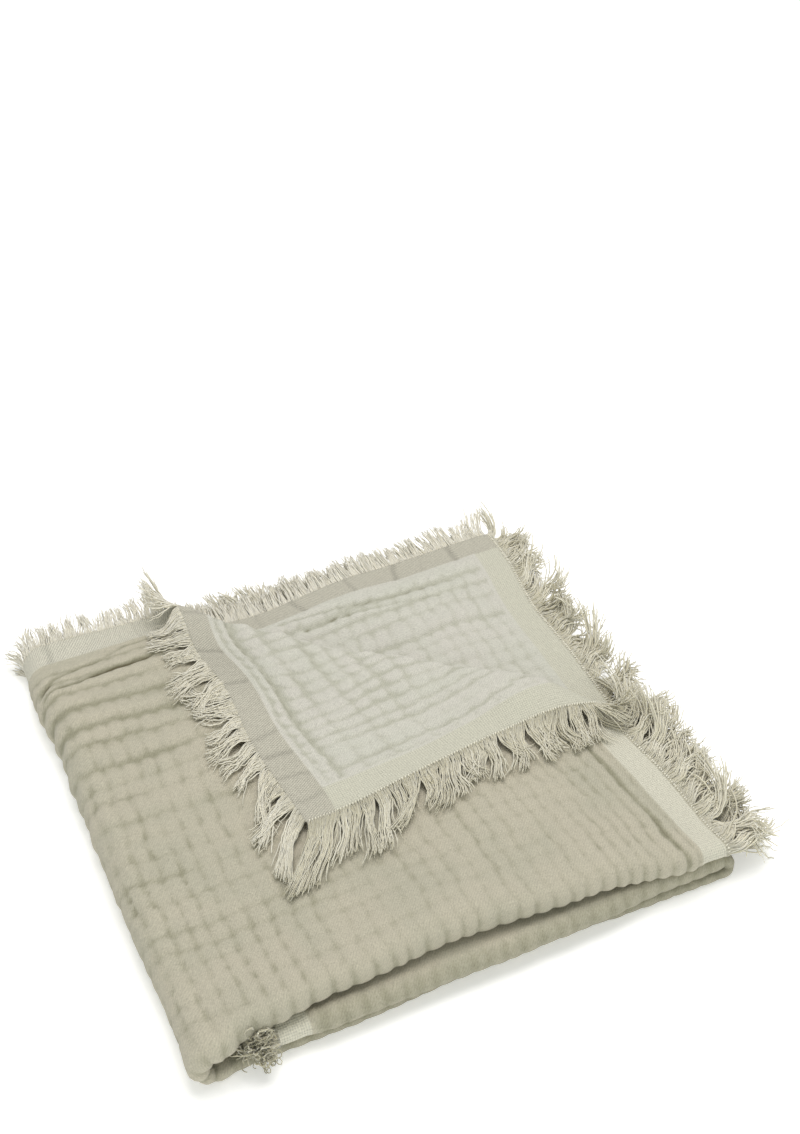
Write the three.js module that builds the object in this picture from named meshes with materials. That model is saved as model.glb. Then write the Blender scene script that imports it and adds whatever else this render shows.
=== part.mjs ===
// Muslin baby blanket with fringed edges, folded in half, then in three, with its top corner turned back.
// Millimetres, +Z up. X runs along the front fold, Y from the front fold to the open back edge.
// The blanket is one sheet. A place on it is (s, v): s runs along the folded strip from its right end,
// v across it from the front crease, where v above 0 is the layer that ends up outside.
import * as THREE from "three";

const { lerp, smoothstep, clamp } = THREE.MathUtils;

// The flat blanket, and the three panels of the folded pile
const cloth = { thickness: 2.5, halfWidth: 350, border: 20 };
const pile = { width: 341, depth: 350, leftArcX: 11, rightArcX: 342, innerEndX: 45, roundness: 0.92 };

// From the table up: a panel has two layers, its half is half their spacing, its gap is the step from the
// layer below. The front gaps hold at the rounded front folds, the edge values at the flat woven borders.
const panels = {
  bottom: { middleHalf: 3.2, edgeHalf: 2.6, frontGap: 1.25, middleGap: 1.25, edgeGap: 1.25 },
  inner: { middleHalf: 3.4, edgeHalf: 2.7, frontGap: 2.95, middleGap: 6.4, edgeGap: 5.4 },
  top: { middleHalf: 4.2, edgeHalf: 2.9, frontGap: 3.1, middleGap: 6.8, edgeGap: 5.6 },
};

// Stations along the front: where each panel's fold comes to, and the half height of its rounded rim
const frontStations = [
  { x: 4, topFront: -11, topRim: 6.5, innerFront: -5, innerRim: 4.4, bottomFront: -7, bottomRim: 2.9 },
  { x: 32, topFront: -2, topRim: 8.4, innerFront: -6, innerRim: 4.8, bottomFront: -3, bottomRim: 2.9 },
  { x: 90, topFront: 4.5, topRim: 9.6, innerFront: -6, innerRim: 5.2, bottomFront: -3, bottomRim: 2.9 },
  { x: 170, topFront: 9, topRim: 9.8, innerFront: -5, innerRim: 5.4, bottomFront: 1, bottomRim: 2.9 },
  { x: 250, topFront: 5.5, topRim: 9.4, innerFront: -4, innerRim: 5.2, bottomFront: 3, bottomRim: 2.9 },
  { x: 310, topFront: 0, topRim: 7.6, innerFront: 2, innerRim: 4.4, bottomFront: 2, bottomRim: 2.9 },
  { x: 345, topFront: 2, topRim: 5.0, innerFront: 3, innerRim: 3.6, bottomFront: 1, bottomRim: 2.9 },
];

// Stations along the open back edges, which don't lie quite over each other
const backStations = [
  { x: 0, outer: 357, inner: 350, lower: 350 },
  { x: 80, outer: 356, inner: 340, lower: 351 },
  { x: 145, outer: 353, inner: 333, lower: 350 },
  { x: 240, outer: 350, inner: 346, lower: 347 },
  { x: 345, outer: 345, inner: 351, lower: 344 },
];

// Stations up the right end of the top panel
const rightStations = [
  { y: -5, outer: 342, inner: 342 },
  { y: 30, outer: 339, inner: 341 },
  { y: 126, outer: 331, inner: 341 },
  { y: 240, outer: 333, inner: 341 },
  { y: 350, outer: 338, inner: 351 },
];

// How far the flat borders and the rounded front folds reach into the panels
const reach = { frontFold: 62, backBorder: 52, rightBorder: 48, innerEnd: 50 };

// The corner turned back over a crease from the back edge to the right end. Along the crease: the radius of
// its roll, how far it bows from the straight line, and how far the flap beyond it slips off its mirror place.
const corner = {
  creaseBack: [105, 350], creaseRight: [330, 127], rest: 6.6, settle: 45, slipOver: 80, rollSteps: 7,
};
const rollStations = [
  { along: 0, radius: 8.5, bow: 0, slip: 6 },
  { along: 60, radius: 4.4, bow: -8, slip: 3 },
  { along: 115, radius: 4.2, bow: -8, slip: -3 },
  { along: 180, radius: 5.0, bow: 0, slip: 0 },
  { along: 255, radius: 7.5, bow: 10, slip: 20 },
  { along: 318, radius: 5.5, bow: 7, slip: 16 },
];

// Unevenness of the whole pile, and how the left fold flares out towards its flat back border
const uneven = {
  leftBulge: 4.5, swell: 0.045, waveX: 131, waveY: 117, phaseX: 0.7,
  flare: 9, flareFromY: 255, flareToY: 338, flareReachX: 48,
};

// Sections of the folded strip, in the order in which the cloth runs
const path = { topEnd: pile.width - pile.leftArcX, leftArc: 42, rightArc: 22 };
path.leftArcEnd = path.topEnd + path.leftArc;
path.bottomEnd = path.leftArcEnd + pile.rightArcX - pile.leftArcX;
path.rightArcEnd = path.bottomEnd + path.rightArc;
path.length = path.rightArcEnd + pile.rightArcX - pile.innerEndX;

// Fringe: a narrow backing strip parted from the cloth's edge, and its locks
const fringe = {
  gap: 0.4, strip: 3, thick: 1.8, lockWidth: 6.2, pitch: 11.6, endMargin: 7, lying: 2.4,
  lengthScatter: 0.14, swayScatter: 4.5, taper: 0.84, tipHalf: 1.1,
};

// A column of a table of stations at a place along it, eased between its rows
function stationValue(table, key, column, at) {
  const last = table.length - 2;
  const k = clamp(table.findIndex((row) => row[key] > at) - 1, 0, last);
  const i = at >= table[last + 1][key] ? last : k;
  return lerp(table[i][column], table[i + 1][column], smoothstep(at, table[i][key], table[i + 1][key]));
}

const frontValue = (column, x) => stationValue(frontStations, "x", column, x);

// How much of the flat border's tightness holds at x, y
function edgeWeight(name, x, y) {
  const back = smoothstep(y, pile.depth - reach.backBorder, pile.depth - 6);
  const right = name === "top" ? 0.9 * smoothstep(x, pile.width - reach.rightBorder, pile.width - 12) : 0;
  const { innerEndX } = pile;
  const inner = name === "inner" ? 1 - smoothstep(x, innerEndX + 12, innerEndX + reach.innerEnd) : 0;
  return 1 - (1 - back) * (1 - right) * (1 - inner);
}

function halfOf(name, x, y) {
  const rim = frontValue(name + "Rim", x);
  const start = frontValue(name + "Front", x) + cloth.thickness / 2 + rim;
  const body = lerp(panels[name].middleHalf, panels[name].edgeHalf, edgeWeight(name, x, y));
  return lerp(rim, body, smoothstep(y, start, start + reach.frontFold));
}

function gapOf(name, x, y) {
  const body = lerp(panels[name].middleGap, panels[name].edgeGap, edgeWeight(name, x, y));
  return lerp(panels[name].frontGap, body, smoothstep(y, 16, 16 + reach.frontFold));
}

// Height of the middle of a panel at x, y, stacked up from the table
function heightOf(name, x, y) {
  let z = 0;
  for (const level of Object.keys(panels)) {
    z += gapOf(level, x, y) + halfOf(level, x, y);
    if (level === name) return z;
    z += halfOf(level, x, y);
  }
  return z;
}

// Front line and rim at s, blended round the two side folds
function frontAt(s) {
  const at = (name, x) => [frontValue(name + "Front", x), frontValue(name + "Rim", x)];
  const blend = (a, b, t) => a.map((value, i) => lerp(value, b[i], smoothstep(t, 0, 1)));
  const { leftArcX, rightArcX } = pile;
  if (s <= path.topEnd) return at("top", pile.width - s);
  if (s < path.leftArcEnd)
    return blend(at("top", leftArcX), at("bottom", leftArcX), (s - path.topEnd) / path.leftArc);
  if (s <= path.bottomEnd) return at("bottom", leftArcX + s - path.leftArcEnd);
  if (s < path.rightArcEnd)
    return blend(at("bottom", rightArcX), at("inner", rightArcX), (s - path.bottomEnd) / path.rightArc);
  return at("inner", rightArcX - (s - path.rightArcEnd));
}

// Back edge at s, for the outer or the inner layer of the strip
function backAt(s, isOuter) {
  const lower = (x) => stationValue(backStations, "x", "lower", x);
  const upper = (x) => stationValue(backStations, "x", isOuter ? "outer" : "inner", x);
  if (s <= path.topEnd) return upper(pile.width - s);
  if (s < path.leftArcEnd) {
    const t = smoothstep(s, path.topEnd, path.leftArcEnd);
    return lerp(upper(pile.leftArcX), lower(pile.leftArcX), t);
  }
  if (s <= path.bottomEnd) return lower(pile.leftArcX + s - path.leftArcEnd);
  return lower(pile.rightArcX - (s - path.rightArcEnd));
}

// Across the strip: the distance back from the front, and where on the rounded rim v lies
function across(s, v) {
  const [front, rim] = frontAt(s);
  const quarter = (Math.PI / 2) * rim;
  const start = front + cloth.thickness / 2;
  const along = Math.abs(v);
  if (along < quarter)
    return { y: start + rim * (1 - Math.cos(along / rim)), share: Math.sin(along / rim) * Math.sign(v) };
  const stretch = (backAt(s, v > 0) - start - rim) / (cloth.halfWidth - quarter);
  return { y: start + rim + (along - quarter) * stretch, share: Math.sign(v) };
}

// Distance from the right end becomes x on the top panel, whose end isn't straight
function topX(s, y, share) {
  const ends = ["inner", "outer"].map((column) => stationValue(rightStations, "y", column, y));
  return lerp(lerp(ends[0], ends[1], (share + 1) / 2), pile.leftArcX, s / path.topEnd);
}

// A side fold that joins two panels round an arc, turn 0 at its start and PI at its end
function sideFold(x, y, turn, from, to, out, share) {
  const [zFrom, zTo] = [heightOf(from, x, y), heightOf(to, x, y)];
  const radius = Math.abs(zFrom - zTo) / 2;
  const half = lerp(halfOf(from, x, y), halfOf(to, x, y), smoothstep(turn, 0, Math.PI));
  const up = Math.sign(zFrom - zTo);
  return new THREE.Vector3(
    x + out * (pile.roundness * radius + half * share) * Math.sin(turn),
    y,
    (zFrom + zTo) / 2 + up * (radius + half * share) * Math.cos(turn),
  );
}

// The crease of the turned corner: how far beyond the start of its roll a place lies, and its values there
const creaseStart = new THREE.Vector2(...corner.creaseBack);
const creaseAlong = new THREE.Vector2(...corner.creaseRight).sub(creaseStart).normalize();
const creaseAcross = new THREE.Vector2(-creaseAlong.y, creaseAlong.x);
function creasePlace(x, y) {
  const from = new THREE.Vector2(x, y).sub(creaseStart);
  const value = (column) => stationValue(rollStations, "along", column, from.dot(creaseAlong));
  const [radius, bow, slip] = ["radius", "bow", "slip"].map(value);
  return { radius, bow, slip, beyond: from.dot(creaseAcross) - bow + (Math.PI / 2) * radius };
}

// Height of the outer top layer at x, y
const outerHeight = (x, y) => heightOf("top", x, y) + halfOf("top", x, y);

// The corner turned back: a roll, then the flap that settles on the top layer
function turnCorner(x, y) {
  const { radius, bow, slip, beyond } = creasePlace(x, y);
  if (beyond <= 0) return new THREE.Vector3(x, y, outerHeight(x, y));
  const arc = Math.PI * radius;
  const rolled = beyond < arc;
  const slipped = (slip - 2 * bow) * smoothstep(beyond, arc, arc + corner.slipOver);
  const reached = rolled ? radius * Math.sin(beyond / radius) : arc - beyond + slipped;
  const settled = lerp(2 * radius, corner.rest, smoothstep(beyond, arc, arc + corner.settle));
  const lift = rolled ? radius * (1 - Math.cos(beyond / radius)) : settled;
  const px = x + (reached - beyond) * creaseAcross.x;
  const py = y + (reached - beyond) * creaseAcross.y;
  return new THREE.Vector3(px, py, outerHeight(px, py) + lift);
}

// The real pile is never square: a slight bulge and a flare at the left fold, and slow swells
function settle(p) {
  const along = clamp(p.x / pile.width, 0, 1);
  const inside = clamp(p.y / pile.depth, 0, 1);
  const bulge = uneven.leftBulge * Math.sin(Math.PI * inside) * (1 - along) ** 2;
  const waveX = Math.sin((2 * Math.PI * p.x) / uneven.waveX + uneven.phaseX);
  const waveY = Math.sin((2 * Math.PI * p.y) / uneven.waveY);
  const floorLayer = cloth.thickness / 2;
  const z = floorLayer + (p.z - floorLayer) * (1 + uneven.swell * waveX * waveY);
  const flareY = smoothstep(p.y, uneven.flareFromY, uneven.flareToY);
  const flare = uneven.flare * flareY * (1 - smoothstep(p.x, -pile.leftArcX, uneven.flareReachX));
  return new THREE.Vector3(p.x - bulge - flare, p.y, z);
}

// Middle of the folded sheet at s, v
function foldedPoint(s, v) {
  const { y, share } = across(s, v);
  const { leftArcX, rightArcX } = pile;
  const layer = (name, x, up) =>
    new THREE.Vector3(x, y, heightOf(name, x, y) + up * share * halfOf(name, x, y));
  const turn = (start, length) => (Math.PI * (s - start)) / length;
  if (s <= path.topEnd) {
    const x = topX(s, y, share);
    return share >= 1 ? turnCorner(x, y) : layer("top", x, 1);
  }
  if (s < path.leftArcEnd)
    return sideFold(leftArcX, y, turn(path.topEnd, path.leftArc), "top", "bottom", -1, share);
  if (s <= path.bottomEnd) return layer("bottom", leftArcX + s - path.leftArcEnd, -1);
  if (s < path.rightArcEnd)
    return sideFold(rightArcX, y, turn(path.bottomEnd, path.rightArc), "bottom", "inner", 1, share);
  return layer("inner", rightArcX - (s - path.rightArcEnd), 1);
}

const surface = (s, v) => settle(foldedPoint(s, v));

// The sheet at s, v: its middle, its directions along and across the strip, and its outward side
function frameAt(s, v) {
  const step = 0.05;
  const [s0, s1] = [s - step, s + step].map((value) => clamp(value, 0, path.length));
  const [v0, v1] = [v - step, v + step].map((value) => clamp(value, -cloth.halfWidth, cloth.halfWidth));
  const alongS = surface(s1, v).sub(surface(s0, v)).normalize();
  const alongV = surface(s, v1).sub(surface(s, v0)).normalize();
  const normal = alongV.clone().cross(alongS).normalize();
  return { point: surface(s, v), alongS, alongV, normal };
}

// Places at even steps, from a list of span ends and step counts
function placesAlong(start, spans) {
  const list = [start];
  for (const [end, steps] of spans) {
    const from = list[list.length - 1];
    for (let i = 1; i <= steps; i++) list.push(lerp(from, end, i / steps));
  }
  return list;
}

// Cuts convex pieces of the flat sheet where value crosses level, so that a crease falls on edges
function splitPieces(pieces, value, level, snap = 0.6) {
  const result = [];
  for (const piece of pieces) {
    const offsets = piece.map((p) => value(p) - level);
    const signs = offsets.map((d) => (Math.abs(d) < snap ? 0 : Math.sign(d)));
    if (!signs.includes(1) || !signs.includes(-1)) {
      result.push(piece);
      continue;
    }
    const [below, above] = [[], []];
    piece.forEach((p, i) => {
      const j = (i + 1) % piece.length;
      if (signs[i] <= 0) below.push(p);
      if (signs[i] >= 0) above.push(p);
      if (signs[i] * signs[j] < 0) {
        const t = offsets[i] / (offsets[i] - offsets[j]);
        const cut = [lerp(p[0], piece[j][0], t), lerp(p[1], piece[j][1], t)];
        below.push(cut);
        above.push(cut);
      }
    });
    result.push(below, above);
  }
  return result;
}

// The flat sheet as convex pieces: a grid, finer at folds and borders, cut along the turned corner's roll
function flatPieces() {
  const s = placesAlong(0, [
    [cloth.border, 1],
    [path.topEnd, 18],
    [path.leftArcEnd, 8],
    [path.bottomEnd, 11],
    [path.rightArcEnd, 6],
    [path.length - cloth.border, 10],
    [path.length, 1],
  ]);
  const rimArc = 15.6;
  const half = placesAlong(0, [
    [rimArc, 4],
    [rimArc + reach.frontFold, 3],
    [cloth.halfWidth - cloth.border, 11],
    [cloth.halfWidth, 1],
  ]);
  const v = [...half.slice(1).map((value) => -value).reverse(), ...half];
  let turned = [];
  const flat = [];
  for (let i = 0; i + 1 < s.length; i++)
    for (let j = 0; j + 1 < v.length; j++) {
      const piece = [[s[i], v[j]], [s[i + 1], v[j]], [s[i + 1], v[j + 1]], [s[i], v[j + 1]]];
      const onTop = s[i + 1] <= path.topEnd && v[j] > rimArc;
      (onTop ? turned : flat).push(piece);
    }
  const turnOf = ([ps, pv]) => {
    const { y, share } = across(ps, pv);
    const { radius, beyond } = creasePlace(topX(ps, y, share), y);
    return beyond / radius;
  };
  for (let i = 0; i <= corner.rollSteps; i++)
    turned = splitPieces(turned, turnOf, (Math.PI * i) / corner.rollSteps, 0.1);
  return [...flat, ...turned];
}

// A closed solid from points and triangles
function closedGeometry(points, triangles) {
  const geometry = new THREE.BufferGeometry();
  geometry.setAttribute("position", new THREE.Float32BufferAttribute(points.flatMap((p) => p.toArray()), 3));
  geometry.setIndex(triangles.flat());
  geometry.computeVertexNormals();
  return geometry;
}

// The whole sheet, thickened to both sides of its middle and closed round its cut edges
function clothGeometry() {
  const places = new Map();
  const list = [];
  const indexOf = ([s, v]) => {
    const key = s.toFixed(4) + "," + v.toFixed(4);
    if (!places.has(key)) {
      places.set(key, list.length);
      list.push([s, v]);
    }
    return places.get(key);
  };
  const faces = [];
  for (const piece of flatPieces()) {
    const ring = piece.map(indexOf).filter((id, i, all) => id !== all[(i + 1) % all.length]);
    for (let i = 1; i + 1 < ring.length; i++) faces.push([ring[0], ring[i + 1], ring[i]]);
  }
  const frames = list.map(([s, v]) => frameAt(s, v));
  const offset = (side) =>
    frames.map(({ point, normal }) => point.clone().addScaledVector(normal, (side * cloth.thickness) / 2));
  const [outer, under] = [offset(1), offset(-1)];
  const count = list.length;
  const triangles = faces.flatMap(([a, b, c]) => [[a, b, c], [a + count, c + count, b + count]]);
  const open = new Map();
  for (const face of faces)
    face.forEach((a, i) => {
      const b = face[(i + 1) % 3];
      if (!open.delete(b + "," + a)) open.set(a + "," + b, [a, b]);
    });
  for (const [a, b] of open.values()) triangles.push([b, a, a + count], [b, a + count, b + count]);
  return closedGeometry([...outer, ...under], triangles);
}

// The four edges of the sheet: a place at t along each, and the way its fringe points
const edges = {
  backOuter: { place: (t) => [t, cloth.halfWidth], key: "alongV", sign: 1, turned: true },
  backInner: { place: (t) => [t, -cloth.halfWidth], key: "alongV", sign: -1, turned: false },
  rightEnd: { place: (t) => [0, t], key: "alongS", sign: -1, turned: true },
  innerEnd: { place: (t) => [path.length, t], key: "alongS", sign: 1, turned: false },
};

// Where the crease of the turned corner crosses the back edge and the right end, in the sheet's own sizes
const creaseOn = { back: 236, end: 131 };
const lastV = cloth.halfWidth - fringe.endMargin;
const lastS = path.length - fringe.endMargin;
const arcs = { left: path.leftArcEnd - 4, right: path.bottomEnd + 1 };

// A row for each backing strip: its edge and span, the length of its locks, how far they drift in X and Y
// and sink, whether they come to lie on the top layer, and how much longer they are at the blanket's corner
const fringeRows = [
  {
    name: "fringe_top_back", edge: "backOuter", from: creaseOn.back + 5, to: arcs.left,
    length: 28, drift: [2, 0], sink: 4,
  },
  {
    name: "fringe_corner_side", edge: "backOuter", from: fringe.endMargin, to: creaseOn.back + 4,
    length: 24, drift: [0, -9], sink: 0, lies: true, tip: { at: 0, extra: 10 },
  },
  {
    name: "fringe_corner_front", edge: "rightEnd", from: creaseOn.end + 1, to: lastV,
    length: 32, drift: [-3, -3], sink: 0, lies: true, tip: { at: cloth.halfWidth, extra: 12 },
  },
  {
    name: "fringe_top_end", edge: "rightEnd", from: -lastV, to: creaseOn.end,
    length: 33, drift: [0, 15], sink: 6,
  },
  {
    name: "fringe_under_back", edge: "backInner", from: fringe.endMargin, to: arcs.left,
    length: 28, drift: [0, 0], sink: 1.6,
  },
  {
    name: "fringe_bottom_back", edge: "backOuter", from: arcs.left + 1, to: arcs.right,
    length: 28, drift: [0, 0], sink: 0.85,
  },
  {
    name: "fringe_lining_back", edge: "backInner", from: arcs.left + 1, to: arcs.right,
    length: 28, drift: [0, 0], sink: 1.2,
  },
  {
    name: "fringe_inner_back", edge: "backOuter", from: arcs.right + 1, to: lastS,
    length: 28, drift: [0, 0], sink: 2.8,
  },
  {
    name: "fringe_middle_back", edge: "backInner", from: arcs.right + 1, to: lastS,
    length: 28, drift: [0, 0], sink: 2.1,
  },
  {
    name: "fringe_inner_end", edge: "innerEnd", from: -lastV, to: lastV,
    length: 25, drift: [0, 0], sink: 1.2,
  },
];

// A repeatable value between -1 and 1
function scatter(i, seed) {
  const value = Math.sin(i * 12.9898 + seed * 78.233) * 43758.5453;
  return 2 * (value - Math.floor(value)) - 1;
}

// One comb: the backing strip along an edge, and a lock grown from every other part of its outer side
function combGeometry(row, seed) {
  const { place, key, sign, turned } = edges[row.edge];
  const count = Math.max(2, Math.round((row.to - row.from) / fringe.pitch));
  const step = (row.to - row.from) / count;
  const points = [];
  const triangles = [];
  const add = (p) => points.push(p) - 1;
  const tri = (a, b, c) => triangles.push(turned ? [a, c, b] : [a, b, c]);
  const face = (a, b, c, d) => [tri(a, b, c), tri(a, c, d)];
  const stationAt = (t) => {
    const frame = frameAt(...place(t));
    return { ...frame, out: frame[key].clone().multiplyScalar(sign) };
  };
  const [near, far] = [fringe.gap, fringe.gap + fringe.strip];
  const section = (t) => {
    const { point, out, normal } = stationAt(t);
    const corners = [[near, 1], [near, -1], [far, -1], [far, 1]];
    return corners.map(([reachOut, side]) =>
      add(point.clone().addScaledVector(out, reachOut).addScaledVector(normal, (side * fringe.thick) / 2)));
  };
  const sections = [];
  const roots = [];
  for (let i = 0; i < count; i++) {
    const start = row.from + i * step + (step - fringe.lockWidth) / 2;
    if (i === 0) sections.push(section(row.from));
    roots.push([sections.length, start + fringe.lockWidth / 2, i]);
    sections.push(section(start), section(start + fringe.lockWidth));
    if (i === count - 1) sections.push(section(row.to));
  }
  const rooted = new Set(roots.map(([k]) => k));
  for (let k = 0; k + 1 < sections.length; k++) {
    const [a, b] = [sections[k], sections[k + 1]];
    for (let side = 0; side < 4; side++) {
      if (side === 2 && rooted.has(k)) continue;
      face(a[side], a[(side + 1) % 4], b[(side + 1) % 4], b[side]);
    }
  }
  const [first, last] = [sections[0], sections[sections.length - 1]];
  face(first[3], first[2], first[1], first[0]);
  face(last[0], last[1], last[2], last[3]);
  for (const [k, t, i] of roots) {
    const [a, b] = [sections[k], sections[k + 1]];
    const { point, out, normal } = stationAt(t);
    const side = points[b[2]].clone().sub(points[a[2]]).normalize();
    const nearTip = row.tip ? 1 - smoothstep(Math.abs(t - row.tip.at), fringe.endMargin, 30) : 0;
    const spread = 1 + fringe.lengthScatter * scatter(i, seed);
    const length = row.length * spread + (row.tip?.extra ?? 0) * nearTip;
    const sway = fringe.swayScatter * scatter(i, seed + 1);
    const onRoll = row.lies && normal.z > -0.97;
    const centre = (f) => {
      const p = point.clone().addScaledVector(out, far + length * f).addScaledVector(side, sway * f * f);
      p.x += row.drift[0] * f * f;
      p.y += row.drift[1] * f * f;
      const rest = settle(new THREE.Vector3(p.x, p.y, outerHeight(p.x, p.y))).z + fringe.lying;
      p.z = row.lies && !onRoll ? lerp(p.z, rest, f) : p.z - row.sink * f * Math.hypot(out.x, out.y);
      return p;
    };
    const middle = centre(0.55);
    const ring = [[-1, -1], [-1, 1], [1, 1], [1, -1]].map(([u, w]) =>
      add(middle.clone()
        .addScaledVector(side, (u * fringe.taper * fringe.lockWidth) / 2)
        .addScaledVector(normal, (w * fringe.taper * fringe.thick) / 2)));
    const base = [a[2], a[3], b[3], b[2]];
    for (let q = 0; q < 4; q++) face(base[q], base[(q + 1) % 4], ring[(q + 1) % 4], ring[q]);
    const [low, high] = [-1, 1].map((u) => add(centre(1).addScaledVector(side, u * fringe.tipHalf)));
    tri(ring[0], ring[1], low);
    face(ring[1], ring[2], high, low);
    tri(ring[2], ring[3], high);
    face(ring[3], ring[0], low, high);
  }
  return closedGeometry(points, triangles);
}

const group = new THREE.Group();
const materials = {
  cloth: new THREE.MeshStandardMaterial({ color: 0xbcb6a3, roughness: 0.95, metalness: 0 }),
  fringe: new THREE.MeshStandardMaterial({ color: 0xd3cfbf, roughness: 0.95, metalness: 0 }),
};

function addPiece(name, geometry, material) {
  const mesh = new THREE.Mesh(geometry, material);
  mesh.name = name;
  group.add(mesh);
}

addPiece("blanket_cloth", clothGeometry(), materials.cloth);
fringeRows.forEach((row, i) => addPiece(row.name, combGeometry(row, i + 1), materials.fringe));

// The origin is under the middle of the pile, on the surface that it lies on
const box = new THREE.Box3().setFromObject(group);
const middle = box.getCenter(new THREE.Vector3());
group.position.set(-middle.x, -middle.y, -box.min.z);

export default group;
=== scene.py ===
import bpy
import numpy as np
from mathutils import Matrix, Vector


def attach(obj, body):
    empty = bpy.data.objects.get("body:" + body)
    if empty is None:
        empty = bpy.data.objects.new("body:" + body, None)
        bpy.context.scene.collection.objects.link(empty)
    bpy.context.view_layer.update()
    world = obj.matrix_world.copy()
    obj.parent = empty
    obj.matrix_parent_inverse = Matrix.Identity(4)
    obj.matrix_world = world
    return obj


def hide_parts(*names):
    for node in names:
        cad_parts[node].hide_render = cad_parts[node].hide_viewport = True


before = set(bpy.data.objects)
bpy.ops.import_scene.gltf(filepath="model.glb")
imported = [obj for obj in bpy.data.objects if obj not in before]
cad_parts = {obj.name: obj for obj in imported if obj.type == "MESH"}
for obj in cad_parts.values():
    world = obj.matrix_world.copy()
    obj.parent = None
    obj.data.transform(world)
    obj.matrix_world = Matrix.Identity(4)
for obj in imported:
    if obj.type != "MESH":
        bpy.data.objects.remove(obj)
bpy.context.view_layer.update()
scene = bpy.context.scene
print("stage: frame loaded,", len(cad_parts), "nodes")

# Lengths are in millimetres, on the flat sheet or on the folded pile, until a mesh is made.
# On the sheet, s runs from the right end of the top layer, and v from the fold at the front, above 0 on the
# upper half. The frame has its origin under the middle of the pile and its fringe.
pileMiddle = np.array([188.34084, 190.46412, 0.0])


# Camera, at the photograph's angle: how far it looks down, and how far the pile is turned under it
view = {
    "lens": 50.06, "sensor": 36.0, "down": 38.9, "turn": 24.1, "distance": 1221.0, "aim": (96.64, 177.2, 0.0),
}


def addCamera():
    down, turn = np.radians(view["down"]), np.radians(view["turn"])
    forward = Vector((np.sin(turn) * np.cos(down), np.cos(turn) * np.cos(down), -np.sin(down)))
    data = bpy.data.cameras.new("photoView")
    data.lens = view["lens"]
    data.sensor_width = view["sensor"]
    camera = bpy.data.objects.new("photoView", data)
    camera.location = (Vector(view["aim"]) - forward * view["distance"]) / 1000
    camera.rotation_euler = forward.to_track_quat("-Z", "Y").to_euler()
    scene.collection.objects.link(camera)
    scene.camera = camera


addCamera()
print("stage: camera")


# The fold of the sheet: a soft double fold at the front, a round one at the left, a flatter one at the
# right. A panel is two layers. It has half of their distance and the gap under it, in its middle, at edges,
# in front.
sheet = {"thickness": 2.5, "halfWidth": 350.0, "length": 1022.0, "border": 20.0}
pile = {
    "width": 341.0, "depth": 350.0, "leftArcX": 11.0, "rightArcX": 342.0, "innerEndX": 45.0,
    "roundness": 0.92,
}
panels = {
    "bottom": {"middleHalf": 3.2, "edgeHalf": 2.6, "frontGap": 1.25, "middleGap": 1.25, "edgeGap": 1.25},
    "inner": {"middleHalf": 3.4, "edgeHalf": 2.7, "frontGap": 2.95, "middleGap": 6.4, "edgeGap": 5.4},
    "top": {"middleHalf": 4.2, "edgeHalf": 2.9, "frontGap": 3.1, "middleGap": 6.8, "edgeGap": 5.6},
}
frontStations = {
    "x": [4, 32, 90, 170, 250, 310, 345],
    "topFront": [-11, -2, 4.5, 9, 5.5, 0, 2], "topRim": [6.5, 8.4, 9.6, 9.8, 9.4, 7.6, 5.0],
    "innerFront": [-5, -6, -6, -5, -4, 2, 3], "innerRim": [4.4, 4.8, 5.2, 5.4, 5.2, 4.4, 3.6],
    "bottomFront": [-7, -3, -3, 1, 3, 2, 1], "bottomRim": [2.9] * 7,
}
backStations = {
    "x": [0, 80, 145, 240, 345], "outer": [357, 356, 353, 350, 345],
    "inner": [350, 340, 333, 346, 351], "lower": [350, 351, 350, 347, 344],
}
rightStations = {
    "y": [-5, 30, 126, 240, 350], "outer": [342, 339, 331, 333, 338], "inner": [342, 341, 341, 341, 351],
}
reach = {
    "gapFrom": 16, "frontFold": 62, "backBorder": 52, "backFlat": 6, "rightBorder": 48, "rightFlat": 12,
    "rightShare": 0.9, "innerFlat": 12, "innerEnd": 50,
}
corner = {"creaseBack": (105, 350), "creaseRight": (330, 127), "rest": 6.6, "settle": 45, "slipOver": 80}
rollStations = {
    "along": [0, 60, 115, 180, 255, 318], "radius": [8.5, 4.4, 4.2, 5.0, 7.5, 5.5],
    "bow": [0, -8, -8, 0, 10, 7], "slip": [6, 3, -3, 0, 20, 16],
}
uneven = {
    "leftBulge": 4.5, "swell": 0.045, "waveX": 131, "waveY": 117, "phaseX": 0.7,
    "flare": 9, "flareFromY": 255, "flareToY": 338, "flareReachX": 48,
}
run = {
    "topEnd": 330.0, "leftArc": 42.0, "leftArcEnd": 372.0, "bottomEnd": 703.0, "rightArc": 22.0,
    "rightArcEnd": 725.0,
}


def ease(value, low, high):
    t = np.clip((value - low) / (high - low), 0, 1)
    return t * t * (3 - 2 * t)


def between(a, b, t):
    return a + (b - a) * t


# A value from a table of places, eased from one to the next
def station(table, key, column, at):
    keys, values = np.array(table[key], float), np.array(table[column], float)
    i = np.clip(np.searchsorted(keys, at, side="right") - 1, 0, len(keys) - 2)
    return between(values[i], values[i + 1], ease(at, keys[i], keys[i + 1]))


def frontValue(column, x):
    return station(frontStations, "x", column, x)


# How far a place of a panel has come to its thin edge
def edgeWeight(name, x, y):
    back = ease(y, pile["depth"] - reach["backBorder"], pile["depth"] - reach["backFlat"])
    right, inner = 0, 0
    if name == "top":
        start, end = pile["width"] - reach["rightBorder"], pile["width"] - reach["rightFlat"]
        right = reach["rightShare"] * ease(x, start, end)
    if name == "inner":
        inner = 1 - ease(x, pile["innerEndX"] + reach["innerFlat"], pile["innerEndX"] + reach["innerEnd"])
    return 1 - (1 - back) * (1 - right) * (1 - inner)


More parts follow.
